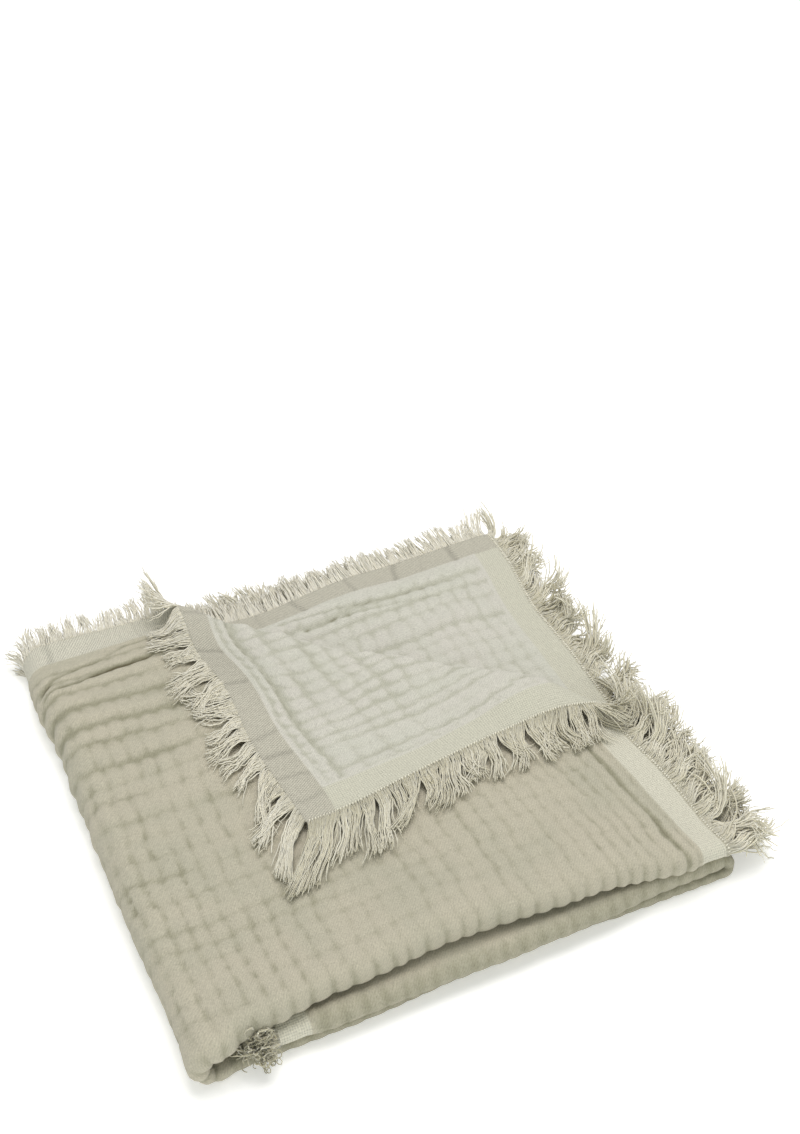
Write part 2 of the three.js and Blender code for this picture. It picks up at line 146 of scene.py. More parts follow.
def halfOf(name, x, y):
    rim = frontValue(name + "Rim", x)
    start = frontValue(name + "Front", x) + sheet["thickness"] / 2 + rim
    body = between(panels[name]["middleHalf"], panels[name]["edgeHalf"], edgeWeight(name, x, y))
    return between(rim, body, ease(y, start, start + reach["frontFold"]))


def gapOf(name, x, y):
    body = between(panels[name]["middleGap"], panels[name]["edgeGap"], edgeWeight(name, x, y))
    start = reach["gapFrom"]
    return between(panels[name]["frontGap"], body, ease(y, start, start + reach["frontFold"]))


def heightOf(name, x, y):
    z = 0
    for level in panels:
        z = z + gapOf(level, x, y) + halfOf(level, x, y)
        if level == name:
            return z
        z = z + halfOf(level, x, y)


# A value of the panels along the whole strip, blended round its side folds
def alongStrip(s, valueOf):
    leftX, rightX = np.full_like(s, pile["leftArcX"]), np.full_like(s, pile["rightArcX"])
    top = valueOf("top", pile["width"] - s)
    bottom = valueOf("bottom", leftX + s - run["leftArcEnd"])
    inner = valueOf("inner", rightX - (s - run["rightArcEnd"]))
    turnedLeft = ease((s - run["topEnd"]) / run["leftArc"], 0, 1)
    turnedRight = ease((s - run["bottomEnd"]) / run["rightArc"], 0, 1)
    left = between(valueOf("top", leftX), valueOf("bottom", leftX), turnedLeft)
    right = between(valueOf("bottom", rightX), valueOf("inner", rightX), turnedRight)
    parts = [s <= run["topEnd"], s < run["leftArcEnd"], s <= run["bottomEnd"], s < run["rightArcEnd"]]
    return np.select(parts, [top, left, bottom, right], inner)


def backAt(s, outer):
    def value(name, x):
        sides = ("lower", "inner", "outer")
        lower, upperIn, upperOut = (station(backStations, "x", side, x) for side in sides)
        return np.where(outer, upperOut, upperIn) if name == "top" else lower
    return alongStrip(s, value)


# How deep in the pile a place on the sheet lies, and on which side of its fold
def acrossPile(s, v):
    start = alongStrip(s, lambda name, x: frontValue(name + "Front", x)) + sheet["thickness"] / 2
    rim = alongStrip(s, lambda name, x: frontValue(name + "Rim", x))
    quarter = np.pi / 2 * rim
    along = np.abs(v)
    stretch = (backAt(s, v > 0) - start - rim) / (sheet["halfWidth"] - quarter)
    onRim = along < quarter
    y = np.where(onRim, start + rim * (1 - np.cos(along / rim)), start + rim + (along - quarter) * stretch)
    share = np.where(onRim, np.sin(np.minimum(along, quarter) / rim), 1) * np.where(v < 0, -1, 1)
    return y, share


# How far the top layer reaches from the left fold to its uneven right end
def topX(s, y, share):
    inner, outer = station(rightStations, "y", "inner", y), station(rightStations, "y", "outer", y)
    return between(between(inner, outer, (share + 1) / 2), pile["leftArcX"], s / run["topEnd"])


# A place on a side fold, which turns from one panel to another round the space between them
def sideFold(x, y, turn, start, end, out, share):
    zStart, zEnd = heightOf(start, x, y), heightOf(end, x, y)
    radius = np.abs(zStart - zEnd) / 2
    half = between(halfOf(start, x, y), halfOf(end, x, y), ease(turn, 0, np.pi))
    up = np.sign(zStart - zEnd)
    z = (zStart + zEnd) / 2 + up * (radius + half * share) * np.cos(turn)
    return np.stack([x + out * (pile["roundness"] * radius + half * share) * np.sin(turn), y, z], -1)


creaseStart = np.array(corner["creaseBack"], float)
creaseAlong = np.array(corner["creaseRight"], float) - creaseStart
creaseAlong /= np.linalg.norm(creaseAlong)
creaseAcross = np.array([-creaseAlong[1], creaseAlong[0]])


# Where a place of the top layer is against the crease of the turned corner
def creasePlace(x, y):
    fromX, fromY = x - creaseStart[0], y - creaseStart[1]
    along = fromX * creaseAlong[0] + fromY * creaseAlong[1]
    columns = ("radius", "bow", "slip")
    radius, bow, slip = (station(rollStations, "along", column, along) for column in columns)
    beyond = fromX * creaseAcross[0] + fromY * creaseAcross[1] - bow + np.pi / 2 * radius
    return radius, bow, slip, beyond


def outerHeight(x, y):
    return heightOf("top", x, y) + halfOf("top", x, y)


# The corner of the top layer rolls over the crease and comes to lie on the pile
def turnCorner(x, y):
    radius, bow, slip, beyond = creasePlace(x, y)
    arc = np.pi * radius
    rolled = beyond < arc
    slipped = (slip - 2 * bow) * ease(beyond, arc, arc + corner["slipOver"])
    reached = np.where(rolled, radius * np.sin(beyond / radius), arc - beyond + slipped)
    settled = between(2 * radius, corner["rest"], ease(beyond, arc, arc + corner["settle"]))
    lift = np.where(rolled, radius * (1 - np.cos(beyond / radius)), settled)
    over = reached - beyond
    turnedX, turnedY = x + over * creaseAcross[0], y + over * creaseAcross[1]
    flat = beyond <= 0
    x, y, lift = np.where(flat, x, turnedX), np.where(flat, y, turnedY), np.where(flat, 0, lift)
    return np.stack([x, y, outerHeight(x, y) + lift], -1)


# The slow unevenness of the whole pile: it bulges at the left, flares at the back left and swells in places
def settle(points):
    x, y, z = points[..., 0], points[..., 1], points[..., 2]
    along, inside = np.clip(x / pile["width"], 0, 1), np.clip(y / pile["depth"], 0, 1)
    bulge = uneven["leftBulge"] * np.sin(np.pi * inside) * (1 - along) ** 2
    waves = np.sin(2 * np.pi * x / uneven["waveX"] + uneven["phaseX"])
    waves = waves * np.sin(2 * np.pi * y / uneven["waveY"])
    floor = sheet["thickness"] / 2
    towardsBack = ease(y, uneven["flareFromY"], uneven["flareToY"])
    flare = uneven["flare"] * towardsBack * (1 - ease(x, -pile["leftArcX"], uneven["flareReachX"]))
    return np.stack([x - bulge - flare, y, floor + (z - floor) * (1 + uneven["swell"] * waves)], -1)


def foldedPoint(s, v):
    y, share = acrossPile(s, v)
    points = np.zeros(s.shape + (3,))

    def lay(part, name, x, up):
        z = heightOf(name, x[part], y[part]) + up * share[part] * halfOf(name, x[part], y[part])
        points[part] = np.stack([x[part], y[part], z], -1)

    def foldSide(part, at, start, arc, names, out):
        turn = np.pi * (s[part] - run[start]) / run[arc]
        points[part] = sideFold(np.full(part.sum(), pile[at]), y[part], turn, *names, out, share[part])

    x = topX(s, y, share)
    top = s <= run["topEnd"]
    upper = top & (share >= 1)
    lay(top & (share < 1), "top", x, 1)
    points[upper] = turnCorner(x[upper], y[upper])
    foldSide(~top & (s < run["leftArcEnd"]), "leftArcX", "topEnd", "leftArc", ("top", "bottom"), -1)
    bottom = (s >= run["leftArcEnd"]) & (s <= run["bottomEnd"])
    lay(bottom, "bottom", pile["leftArcX"] + s - run["leftArcEnd"], -1)
    right = (s > run["bottomEnd"]) & (s < run["rightArcEnd"])
    foldSide(right, "rightArcX", "bottomEnd", "rightArc", ("bottom", "inner"), 1)
    lay(s >= run["rightArcEnd"], "inner", pile["rightArcX"] - (s - run["rightArcEnd"]), 1)
    return points


def sheetPoint(s, v):
    s, v = np.broadcast_arrays(np.asarray(s, float), np.asarray(v, float))
    return settle(foldedPoint(s, v))


def unit(vectors):
    return vectors / np.linalg.norm(vectors, axis=-1, keepdims=True)


# The sheet's middle at a place, its two directions there, and the way the taupe face looks
def sheetFrame(s, v, step=0.05):
    s, v = np.broadcast_arrays(np.asarray(s, float), np.asarray(v, float))
    edge = sheet["halfWidth"]
    after, before = np.clip(s + step, 0, sheet["length"]), np.clip(s - step, 0, sheet["length"])
    upper, lower = np.clip(v + step, -edge, edge), np.clip(v - step, -edge, edge)
    alongS = unit(sheetPoint(after, v) - sheetPoint(before, v))
    alongV = unit(sheetPoint(s, upper) - sheetPoint(s, lower))
    return sheetPoint(s, v), alongS, alongV, unit(np.cross(alongV, alongS))


# Repeatable smooth unevenness between -1 and 1, of about one swell for each unit of x and y
def drift(x, y, seed, size=64):
    table = np.random.default_rng(seed).uniform(-1, 1, (size, size))
    x, y = np.broadcast_arrays(np.asarray(x, float), np.asarray(y, float))
    i, j = np.floor(x).astype(int), np.floor(y).astype(int)
    tx, ty = ease(x - i, 0, 1), ease(y - j, 0, 1)
    low = between(table[i % size, j % size], table[(i + 1) % size, j % size], tx)
    high = between(table[i % size, (j + 1) % size], table[(i + 1) % size, (j + 1) % size], tx)
    return between(low, high, ty)


# Several of these together, each with its lengths along s and v, its height and the number of its seed
def drifts(s, v, swells, seed):
    return sum(height * drift(s / lengthS, v / lengthV, seed + n) for lengthS, lengthV, height, n in swells)


def bell(distance, width):
    return np.exp(-(distance / width) ** 2)


# The crinkle: sunken lines across the sheet both ways, with soft puffs between them. Each row of puffs is
# steep on the side of the front fold, where the seams, the lines of the other kind, cut short dents into
# it. Swells have their lengths along s and v, their height and the number of their seed. A pair is a value
# before and after a change, or where the change starts and ends.
crinkle = {
    "pitchS": 11.6, "pitchV": 17.5, "scatter": 0.16, "depths": (0.45, 0.8), "vary": 0.4, "varyLength": 29,
    "wander": 1.5, "wanderS": [(30, 24, 1.0, 0), (12, 9, 0.6, 1)],
    "wanderV": [(31, 40, 1.0, 2), (9, 14, 0.7, 3)], "scallop": 2.2, "stagger": 2.2, "meanBulge": 0.6,
    "askew": (4, 90), "askewFrom": (0, 12),
    "calmEdge": (18, 60), "backFrom": 30, "endReach": (30, 100), "rightReach": (120, 210),
    "leftRows": 0.85, "endRows": 0.5, "steep": (-0.05, 0.36), "gentle": (0.22, 1.04), "peak": 0.86,
    "seams": (0.8, 1.15), "rimSeam": 0.65, "rimReach": (8, 30), "backSeam": 0.22, "usualGap": 17,
    "base": 0.25, "swells": [(58, 47, 0.6, 11), (15, 13, 0.25, 13)],
    "loose": [(37, 31, 0.3, 9), (8, 7, 0.2, 10)], "groove": 0.35, "grooveWidth": 1.7, "pleat": 1.5,
    "pleatWidth": 1.5, "borderPleat": 0.8, "borderWidth": 2.6, "lowest": -1.1, "highest": 4.4, "sharpness": 3,
    "flatSkin": 0.62, "hiddenSkin": 1.2, "borderBlend": (-1.5, 5), "ridge": 0.7,
    "ridgeWidth": 1.4, "bars": [(13, 13, 0.45, 12)], "barReach": 8,
    # Painted shade on the front rims of the lower layers, low by the floor: how much, where it fades from the
    # front fold, and where it starts past the left fold
    "floorShadeRim": 0.6, "rimFront": (5, 15), "rimLeft": (372, 392),
}
# The dents: how wide they are, where they lie on the slope of a row, how deep they are there and beside it,
# and the ones over the front rim. Some pairs are a value in front and at the back.
dents = {
    "width": 2.2, "steep": (-0.04, 0.14), "gentleFrom": (0.3, 0.18), "gentleTo": (0.85, 0.55),
    "dice": (0.7, 1.12), "faint": 0.2, "faintRight": 0.15, "faintEnd": 0.4, "faintBack": 0.4,
    "depth": (0.98, 0.95),
    "fromFold": (7, 15), "fromEdge": 26, "rimWidth": 2.6, "rimMiddle": -2, "rimReach": (3, 14),
    "rimDepth": (0.72, 0.22), "rimChange": (365, 385),
}
# How much painted shade each kind of sunken place gets, in front and at the back: groove, dent and seam darken
# the lines, partly also as the denser colour of the tied layers, and row shades the steep side of each row of
# puffs
sunkenTones = {
    "groove": (0.3, 0.48), "grooveInDent": 0.7, "dent": (0.85, 0.62), "row": (0.55, 0.75), "rowPower": 1.3,
    "seam": 0.7, "seamPower": 1.5,
}
# The faces that show. puff is a height, backPuff times as much at the back, which fades out at backReach
# from the edge. dent is the depth of the dents, which they reach at dentEdge from the edge. frontRows is
# the depth of the rows at the front right, seam that of the seams, leftSeam times as much at the left,
# scallopS how far the seams wave between the rows, and calm the share of the wander that is left beside a
# border. tone sets how much painted shade the sunken places get, and endTone sets it near an end. A row in
# lines or a seam in seams has a place and a depth, or a depth at the left and one at the right. Pleats are
# the few sharp creases, with places along them and their depths, and crossing has the short ones across
# the flat border.
muslinFaces = {
    "outer": {
        "seed": 3, "puff": 1.05, "backPuff": 2.3, "backReach": 250, "dent": 1.3, "dentEdge": 30,
        "frontRows": 0.6, "seam": 0.75, "leftSeam": 0.58, "scallopS": 0.0, "calm": 0.5,
        "tone": 1.06, "endTone": 1.35,
        "lines": [
            (333, 0.3), (325, 0.35), (316, 0.5), (304, 0.8), (289, 0.6), (272, 0.95), (252, 1.0),
            (236, 0.6), (214, 0.85), (197, 0.5), (184, 0.65), (164, 0.6), (147, 0.35), (131, 0.7),
            (114, 0.75, 0.4), (106, 0.0, 0.4), (96, 0.65, 0.5), (85, 0.1, 0.55), (73, 0.65, 0.6),
            (60, 0.55, 0.6), (48, 0.45, 0.55), (36, 0.3, 0.55), (23, 0.45, 0.35), (10, 0.45, 0.5),
        ],
        "seams": [
            (17, 0.3), (21, 0.7), (30, 0.9), (40, 0.5), (49, 0.5), (57, 0.55), (66, 0.55), (75, 0.6),
            (86, 0.6), (96, 0.65), (105, 0.55), (116, 0.65), (127, 0.7), (138, 0.8), (151, 0.6),
            (164, 0.65), (175, 0.65), (186, 0.7), (198, 0.7), (210, 0.65), (220, 0.65), (232, 0.7),
            (246, 0.75), (258, 0.75), (271, 0.8), (283, 0.8), (295, 0.8), (306, 0.85), (317, 0.9),
            (328, 0.95), (338, 0.95), (348, 0.8), (358, 0.75), (368, 0.7),
        ],
        "pleats": [
            ([(343, 302), (339, 305.5), (330, 310), (321, 314), (307, 317.5), (283, 325), (262, 327)],
             [0.5, 1.1, 1.0, 0.7, 0.6, 0.7, 0.2]),
            ([(341, 295), (337, 298), (318, 301), (294, 305), (279, 305), (262, 305), (240, 304)],
             [0.6, 1.3, 1.5, 1.5, 1.2, 0.8, 0.3]),
            ([(23, 118), (22, 60), (21, 0)], [0.2, 0.25, 0.3]),
            ([(31, 126), (31, 60), (30, 0)], [0.2, 0.3, 0.35]),
        ],
        "crossing": [(328, 0.8), (300, 0.3), (270, 0.4)],
    },
    "corner": {
        "seed": 17, "puff": 2.1, "backPuff": 1.0, "backReach": 60, "dent": 0.4, "dentEdge": 38,
        "frontRows": 0.8, "seam": 0.75, "leftSeam": 1.0, "scallopS": 2.2, "calm": 0.95,
        "tone": 1.48, "endTone": 0.58,
        "lines": [
            (331, 0.3), (326, 0.7), (317, 0.85), (298, 0.85), (277, 0.9), (265, 0.7), (254, 0.7),
            (239, 0.7), (226, 0.6), (212, 0.6), (198, 0.6), (184, 0.55), (170, 0.55), (156, 0.5),
            (142, 0.5),
        ],
        "seams": [
            (17, 0.2), (22, 0.6), (30, 1.0), (41, 0.35), (52, 0.8), (61, 0.75), (72, 0.85), (83, 0.75),
            (95, 0.75), (108, 0.7), (120, 0.65), (132, 0.6), (145, 0.5),
        ],
        "pleats": [
            ([(30, 317), (110, 318), (190, 317), (250, 319)], [0.3, 0.4, 0.5, 0.4]),
            ([(22, 325), (22, 240), (22, 160)], [0.3, 0.35, 0.3]),
        ],
        "crossing": [
            (17, 0.6), (40, 0.7), (62, 0.9), (82, 0.7), (110, 0.4), (136, 0.8), (178, 0.9), (215, 0.7),
        ],
    },
    "lining": {
        "seed": 29, "puff": 2.0, "backPuff": 1.0, "backReach": 60, "dent": 0.45, "dentEdge": 30,
        "frontRows": 0.8, "seam": 0.6, "leftSeam": 1.0, "scallopS": 1.0, "calm": 0.6,
        "tone": 1.55, "endTone": 0.8,
        "lines": [
            (333, 0.2), (311, 0.8), (297, 0.8), (283, 0.75), (260, 0.95), (249, 0.5), (237, 0.6),
            (224, 0.6), (210, 0.6), (196, 0.6), (181, 0.6), (166, 0.6), (150, 0.6),
        ],
        "seams": [(17, 0.2), (22, 0.35), (29, 0.5), (40, 0.5), (51, 0.5), (62, 0.5), (73, 0.5), (84, 0.5)],
        "pleats": [
            ([(180, -325), (150, -319), (111, -313), (44, -309)], [0.9, 1.0, 0.7, 0.4]),
            ([(162, -309), (140, -308), (111, -304), (60, -297)], [1.2, 1.2, 0.8, 0.3]),
        ],
        "crossing": [(190, 0.5), (159, 0.9), (117, 0.7), (82, 0.9), (60, 0.4), (35, 1.0), (12, 0.3)],
    },
}


# The known lines, and beyond them others at the usual distance
def spreadLines(known, last, pitch, seed):
    rng = np.random.default_rng(seed)
    lines = sorted((place, depths[0], depths[-1]) for place, *depths in known)
    while lines[-1][0] < last:
        gap = pitch * (1 + crinkle["scatter"] * rng.uniform(-1, 1))
        lines.append((lines[-1][0] + gap, *[rng.uniform(*crinkle["depths"])] * 2))
    return np.array(lines)


# The rows of a face, on both halves of the sheet
def linesOfV(face):
    known = [(-line[0], *line[1:]) for line in muslinFaces[face]["lines"]]
    rows = spreadLines(known, -8, crinkle["pitchV"], 5)
    rows = rows[rows[:, 0] < -4]
    return np.concatenate([rows, rows[::-1] * (-1, 1, 1)])


# How a place lies between two lines: its share of the way, the distance to the nearer one, and their depths
def betweenLines(at, along, lines, seed, towardsRight=0):
    places = lines[:, 0]
    k = np.clip(np.searchsorted(places, at) - 1, 0, len(places) - 2)
    gap = places[k + 1] - places[k]
    t = np.clip((at - places[k]) / gap, 0, 1)

    def depthOf(n):
        varied = 1 + crinkle["vary"] * drift(along / crinkle["varyLength"], 3.7 * n, seed)
        return np.clip(between(lines[n, 1], lines[n, 2], towardsRight) * varied, 0, 1.5)

    before, after = depthOf(k), depthOf(k + 1)
    nearer = np.where(t < 0.5, 0, 1)
    return {"k": k, "gap": gap, "t": t, "distance": np.minimum(t, 1 - t) * gap, "line": k + nearer,
            "depth": between(before, after, ease(t, 0.3, 0.8)), "own": np.where(nearer, after, before)}


# How much of the sharp creases is at a place, wandering a little about their courses
def pleatedAt(s, v, pleats):
    total = np.zeros(s.shape)
    for n, (course, depths) in enumerate(pleats):
        course = np.array(course, float) + 0.8 * np.random.default_rng(n).uniform(-1, 1, (len(course), 2))
        wavy = 0.9 * drift((s + v) / 6, (s - v) / 19, 40 + n)
        for start, end, deep, deeper in zip(course[:-1], course[1:], depths[:-1], depths[1:]):
            way = end - start
            part = np.clip(((s - start[0]) * way[0] + (v - start[1]) * way[1]) / (way @ way), 0, 1)
            far = np.hypot(s - start[0] - part * way[0] + wavy, v - start[1] - part * way[1] + wavy)
            total = np.maximum(total, between(deep, deeper, part) * bell(far, crinkle["pleatWidth"]))
    return total


# The same for the short ones across the flat border
def pleatedBorder(s, v, places):
    total = np.zeros(s.shape)
    for n, (place, depth) in enumerate(places):
        slanted = s - place + 0.3 * np.sin(5 * n) * (np.abs(v) - 340) + 0.8 * drift(v / 6, n, 50)
        total = np.maximum(total, depth * bell(slanted, crinkle["borderWidth"]))
    return total


# What closes the wedge between the layers in front: the lower side of the top layer's rim hangs, and the
# layer under it rises to meet it
wedge = {"rise": 2.2, "hang": 1.1}


def closing(s, v):
    x = pile["rightArcX"] - (s - run["rightArcEnd"])
    behind = sheetPoint(s, v)[..., 1] - frontValue("topFront", x)
    rises = wedge["rise"] * ease(behind, -9, 3) * (1 - ease(behind, 4.5, 10)) * ease(v, 0, 6)
    hangs = wedge["hang"] * ease(v, -15, -9) * (1 - ease(v, -6, 0))
    return rises * (s > run["rightArcEnd"]) + hangs * (s < run["topEnd"])


# Where a place is on a face: its way to the edges, and how near it is to the back, an end and the right
def placeOnFace(s, v, kind):
    edgeS = np.minimum(s, sheet["length"] - s)
    edgeV = sheet["halfWidth"] - np.abs(v)
    edge = np.minimum(edgeS, edgeV)
    calm = between(kind["calm"], 1, ease(edge, *crinkle["calmEdge"]))
    back = 1 - ease(edgeV, crinkle["backFrom"], kind["backReach"])
    end, right = 1 - ease(edgeS, *crinkle["endReach"]), 1 - ease(s, *crinkle["rightReach"])
    return {"edge": edge, "edgeV": edgeV, "calm": calm, "back": back, "end": end, "right": right}


# Where a place is between the rows and between the seams of a face, all of which wander
def rowsAndSeams(s, v, face, at):
    kind, seed = muslinFaces[face], muslinFaces[face]["seed"]
    wanderS = crinkle["wander"] * at["calm"] * drifts(s, v, crinkle["wanderS"], seed)
    wanderV = crinkle["wander"] * at["calm"] * drifts(s, v, crinkle["wanderV"], seed)
    nearest, farthest = crinkle["askew"]
    fromLeft = np.clip(pile["width"] - s, nearest, farthest)
    askew = frontValue("topFront", fromLeft) - frontValue("topFront", farthest)
    towardsBack = np.clip(v / sheet["halfWidth"], 0, 1)
    wanderV = wanderV + askew * (1 - towardsBack) * ease(v, *crinkle["askewFrom"])
    rowLines = linesOfV(face)
    plain = betweenLines(v + wanderV, s, rowLines, seed)
    stagger = np.random.default_rng(seed + 5).uniform(-1, 1, 128)[plain["k"] % 128]
    waved = kind["scallopS"] * (np.sin(np.pi * plain["t"]) - crinkle["meanBulge"])
    waved = waved + crinkle["stagger"] * stagger * at["calm"]
    seamLines = spreadLines(kind["seams"], sheet["length"] + 30, crinkle["pitchS"], seed + 4)
    seams = betweenLines(s + wanderS + waved, v, seamLines, seed + 6)
    seams["bulge"] = np.sin(np.pi * seams["t"])
    scallop = crinkle["scallop"] * (seams["bulge"] - crinkle["meanBulge"]) * at["calm"]
    rows = betweenLines(v + wanderV - scallop * np.sign(v), s, rowLines, seed + 7, at["right"])
    rows["upward"] = np.where(v > 0, rows["t"], 1 - rows["t"])
    return rows, seams


# The short dents in the steep side of each row, and those over the front rim
def dentsAt(s, v, kind, at, rows, seams, seamWeight):
    gentle = between(*dents["gentleFrom"], at["back"]), between(*dents["gentleTo"], at["back"])
    dented = ease(rows["upward"], *dents["steep"]) * (1 - ease(rows["upward"], *gentle))
    dice = np.random.default_rng(kind["seed"] + 8).uniform(*dents["dice"], (128, 128))
    dice = dice[seams["line"] % 128, rows["k"] % 128]
    faint = np.maximum(dents["faint"] + dents["faintRight"] * at["right"], dents["faintEnd"] * at["end"])
    faint = faint * between(1, dents["faintBack"], at["back"])
    dent = bell(seams["distance"], dents["width"]) * seams["own"] * seamWeight
    dent = dent * between(faint, dice, dented) * between(*dents["depth"], at["back"])
    dent = dent * ease(np.abs(v), *dents["fromFold"]) * ease(at["edgeV"], dents["fromEdge"], kind["dentEdge"])
    overRim = 1 - ease(np.abs(v - dents["rimMiddle"]), *dents["rimReach"])
    overRim = overRim * bell(seams["distance"], dents["rimWidth"])
    return np.maximum(dent, overRim * between(*dents["rimDepth"], ease(s, *dents["rimChange"])))


# Height of a face over the sheet's middle, and how sunken it is, which sets the painted shade in its colour
def faceRelief(s, v, face, shown):
    kind, seed = muslinFaces[face], muslinFaces[face]["seed"]
    at = placeOnFace(s, v, kind)
    rows, seams = rowsAndSeams(s, v, face, at)
    edge, back, end, right = at["edge"], at["back"], at["end"], at["right"]
    rowWeight = between(between(crinkle["leftRows"], kind["frontRows"], right), 1, back)
    rowWeight = rowWeight * (1 - crinkle["endRows"] * end * (1 - back) * (face == "outer"))
    seamWeight = between(*crinkle["seams"], end)
    slope = ease(rows["upward"], *crinkle["steep"]) * (1 - ease(rows["upward"], *crinkle["gentle"]))
    rowPuff = 1 - np.clip(rows["depth"], 0, 1.1) * rowWeight * (1 - slope / crinkle["peak"])
    seam = np.clip(seams["depth"] * seamWeight, 0, 1) * (1 - seams["bulge"])
    seam = seam * between(kind["leftSeam"] * between(1, kind["leftSeam"], back), 1, right)
    seam = seam * between(crinkle["rimSeam"], 1, ease(np.abs(v), *crinkle["rimReach"]))
    seamPuff = 1 - between(kind["seam"], crinkle["backSeam"], back) * seam
    dent = dentsAt(s, v, kind, at, rows, seams, seamWeight)
    groove = bell(rows["distance"], crinkle["grooveWidth"]) * rows["own"] * rowWeight
    pleat = pleatedAt(s, v, kind["pleats"])

    wide = np.clip(rows["gap"] / crinkle["usualGap"], 0.5, 1.25)
    loose = 1 + drifts(s, v, crinkle["loose"], seed)
    puff = kind["puff"] * between(1, kind["backPuff"], back) * wide * rowPuff * seamPuff * loose
    height = crinkle["base"] + puff + drifts(s, v, crinkle["swells"], seed)
    height = height - crinkle["groove"] * groove - kind["dent"] * dent
    height = height - crinkle["pleat"] * np.clip(pleat, 0, 1)
    height = np.log1p(np.exp(crinkle["sharpness"] * (height - crinkle["lowest"]))) / crinkle["sharpness"]
    height = np.minimum(crinkle["lowest"] + height, crinkle["highest"])
    height = height + closing(s, v) * (face == "outer")
    startBlend, endBlend = crinkle["borderBlend"]
    crinkled = ease(edge, sheet["border"] + startBlend, sheet["border"] + endBlend)
    ridge = crinkle["ridge"] * bell(edge - sheet["border"], crinkle["ridgeWidth"])
    bars = drifts(s, v, crinkle["bars"], seed) * ease(edge, 0, crinkle["barReach"])
    strip = pleatedBorder(s, v, kind["crossing"]) * (1 - crinkled) * (at["edgeV"] < sheet["border"])
    border = crinkle["flatSkin"] + ridge + bars - crinkle["borderPleat"] * strip
    height = between(border, height, crinkled)

    # Painted shade: the grooves, dents and seams, the steep side of each row and the sharp creases are
    # darkened as if shadow lay in them; in the lines this is partly also the denser colour where the layers
    # are tied
    tones = sunkenTones
    low = groove * (1 - tones["grooveInDent"] * np.clip(dent, 0, 1)) * between(*tones["groove"], back)
    low = low + between(*tones["dent"], np.maximum(back, right)) * dent
    low = low + between(*tones["row"], back) * np.clip(1 - rowPuff, 0, 1) ** tones["rowPower"]
    low = low + kind["seam"] * tones["seam"] * seam ** tones["seamPower"]
    low = low * kind["tone"] * between(1, kind["endTone"], end)
    sunkenShade = (np.clip(low, 0, 1) + np.clip(pleat, 0, 1.5)) * crinkled + strip
    # Painted shade on the front rims of the lower layers, which lie low by the floor
    floorShadeRim = (1 - ease(np.abs(v), *crinkle["rimFront"])) * ease(s, *crinkle["rimLeft"])
    sunkenShade = sunkenShade + crinkle["floorShadeRim"] * floorShadeRim * crinkled
    return between(crinkle["hiddenSkin"], height, shown), sunkenShade * shown


# Where each face can be seen, from 0 to 1. A pair is where that starts and ends.
seen = {
    "underFront": (-14, -8), "pastLeft": (385, 397), "cornerS": 262, "cornerY": 105, "pastCrease": (2, 10),
    "rim": (8, 15), "rimFrom": 372, "rightFold": (694, 702), "underRight": (728, 738),
    "cornerFrom": (-8, 2), "liningFrom": (-26, -14),
}


def showing(s, v, taupe):
    y = np.abs(v)
    beyond = creasePlace(pile["width"] - s, y)[3]
    turned = np.where((s < seen["cornerS"]) & (y > seen["cornerY"]), beyond, -100.0)
    if not taupe:
        pale = np.where(v > 0, ease(turned, *seen["cornerFrom"]), ease(turned, *seen["liningFrom"]))
        return pale * (s < seen["cornerS"])
    overFront = ease(v, *seen["underFront"])
    covered = np.where(v > 0, ease(turned, *seen["pastCrease"]), 0)
    upper = overFront * (1 - ease(s, *seen["pastLeft"])) * (1 - covered)
    rims = (1 - ease(y, *seen["rim"])) * np.where(s > seen["rimFrom"], 1, overFront)
    fold = overFront * ease(s, *seen["rightFold"]) * (1 - ease(s, *seen["underRight"]))
    return np.maximum(np.maximum(upper, rims), fold)


# The sheet is cut into cells, which are small only where its crinkle shows or its fold turns
cells = {
    "acrossS": 67, "acrossV": 46, "levels": 3, "rollS": 270, "rollV": 100, "rollFrom": -12, "rollTo": 34,
    "front": 24, "arcs": [(322, 380), (697, 731)], "rim": 5, "rimTo": 385, "layers": (372, 703),
}
fine = 2 ** cells["levels"]
countS, countV = cells["acrossS"] * fine, cells["acrossV"] * fine
nodeS = np.linspace(0, sheet["length"], countS + 1)
nodeV = np.linspace(-sheet["halfWidth"], sheet["halfWidth"], countV + 1)


def wantedLevels(taupe):
    s, v = np.meshgrid((nodeS[1:] + nodeS[:-1]) / 2, (nodeV[1:] + nodeV[:-1]) / 2, indexing="ij")
    want = np.zeros(s.shape, int)

    def atLeast(level, where):
        want[where & (want < level)] = level

    beyond = creasePlace(pile["width"] - s, v)[3]
    roll = (s < cells["rollS"]) & (v > cells["rollV"]) & (beyond > cells["rollFrom"])
    sideRim = np.abs(v) > sheet["halfWidth"] - cells["rim"]
    atLeast(3, showing(s, v, taupe) > 0.02)
    atLeast(1, roll)
    atLeast(2, roll & (beyond < cells["rollTo"]))
    atLeast(2, np.abs(v) < cells["front"])
    for start, end in cells["arcs"]:
        atLeast(2, (s > start) & (s < end))
    atLeast(3, (s < cells["rim"]) | (sideRim & (s < cells["rimTo"])))
    atLeast(2, (s > sheet["length"] - cells["rim"]) | sideRim)
    if taupe:
        atLeast(1, (s > cells["layers"][0]) & (s < cells["layers"][1]) & (v > 0))

    for level in (3, 2, 1):
        spread = 2 ** (cells["levels"] - level + 1)
        mask = want >= level
        grown = mask.copy()
        for axis in (0, 1):
            padded = grown.copy()
            for shift in range(-spread, spread + 1):
                padded |= np.roll(grown, shift, axis)
            grown = padded
        want[grown & (want < level - 1)] = level - 1
    return want


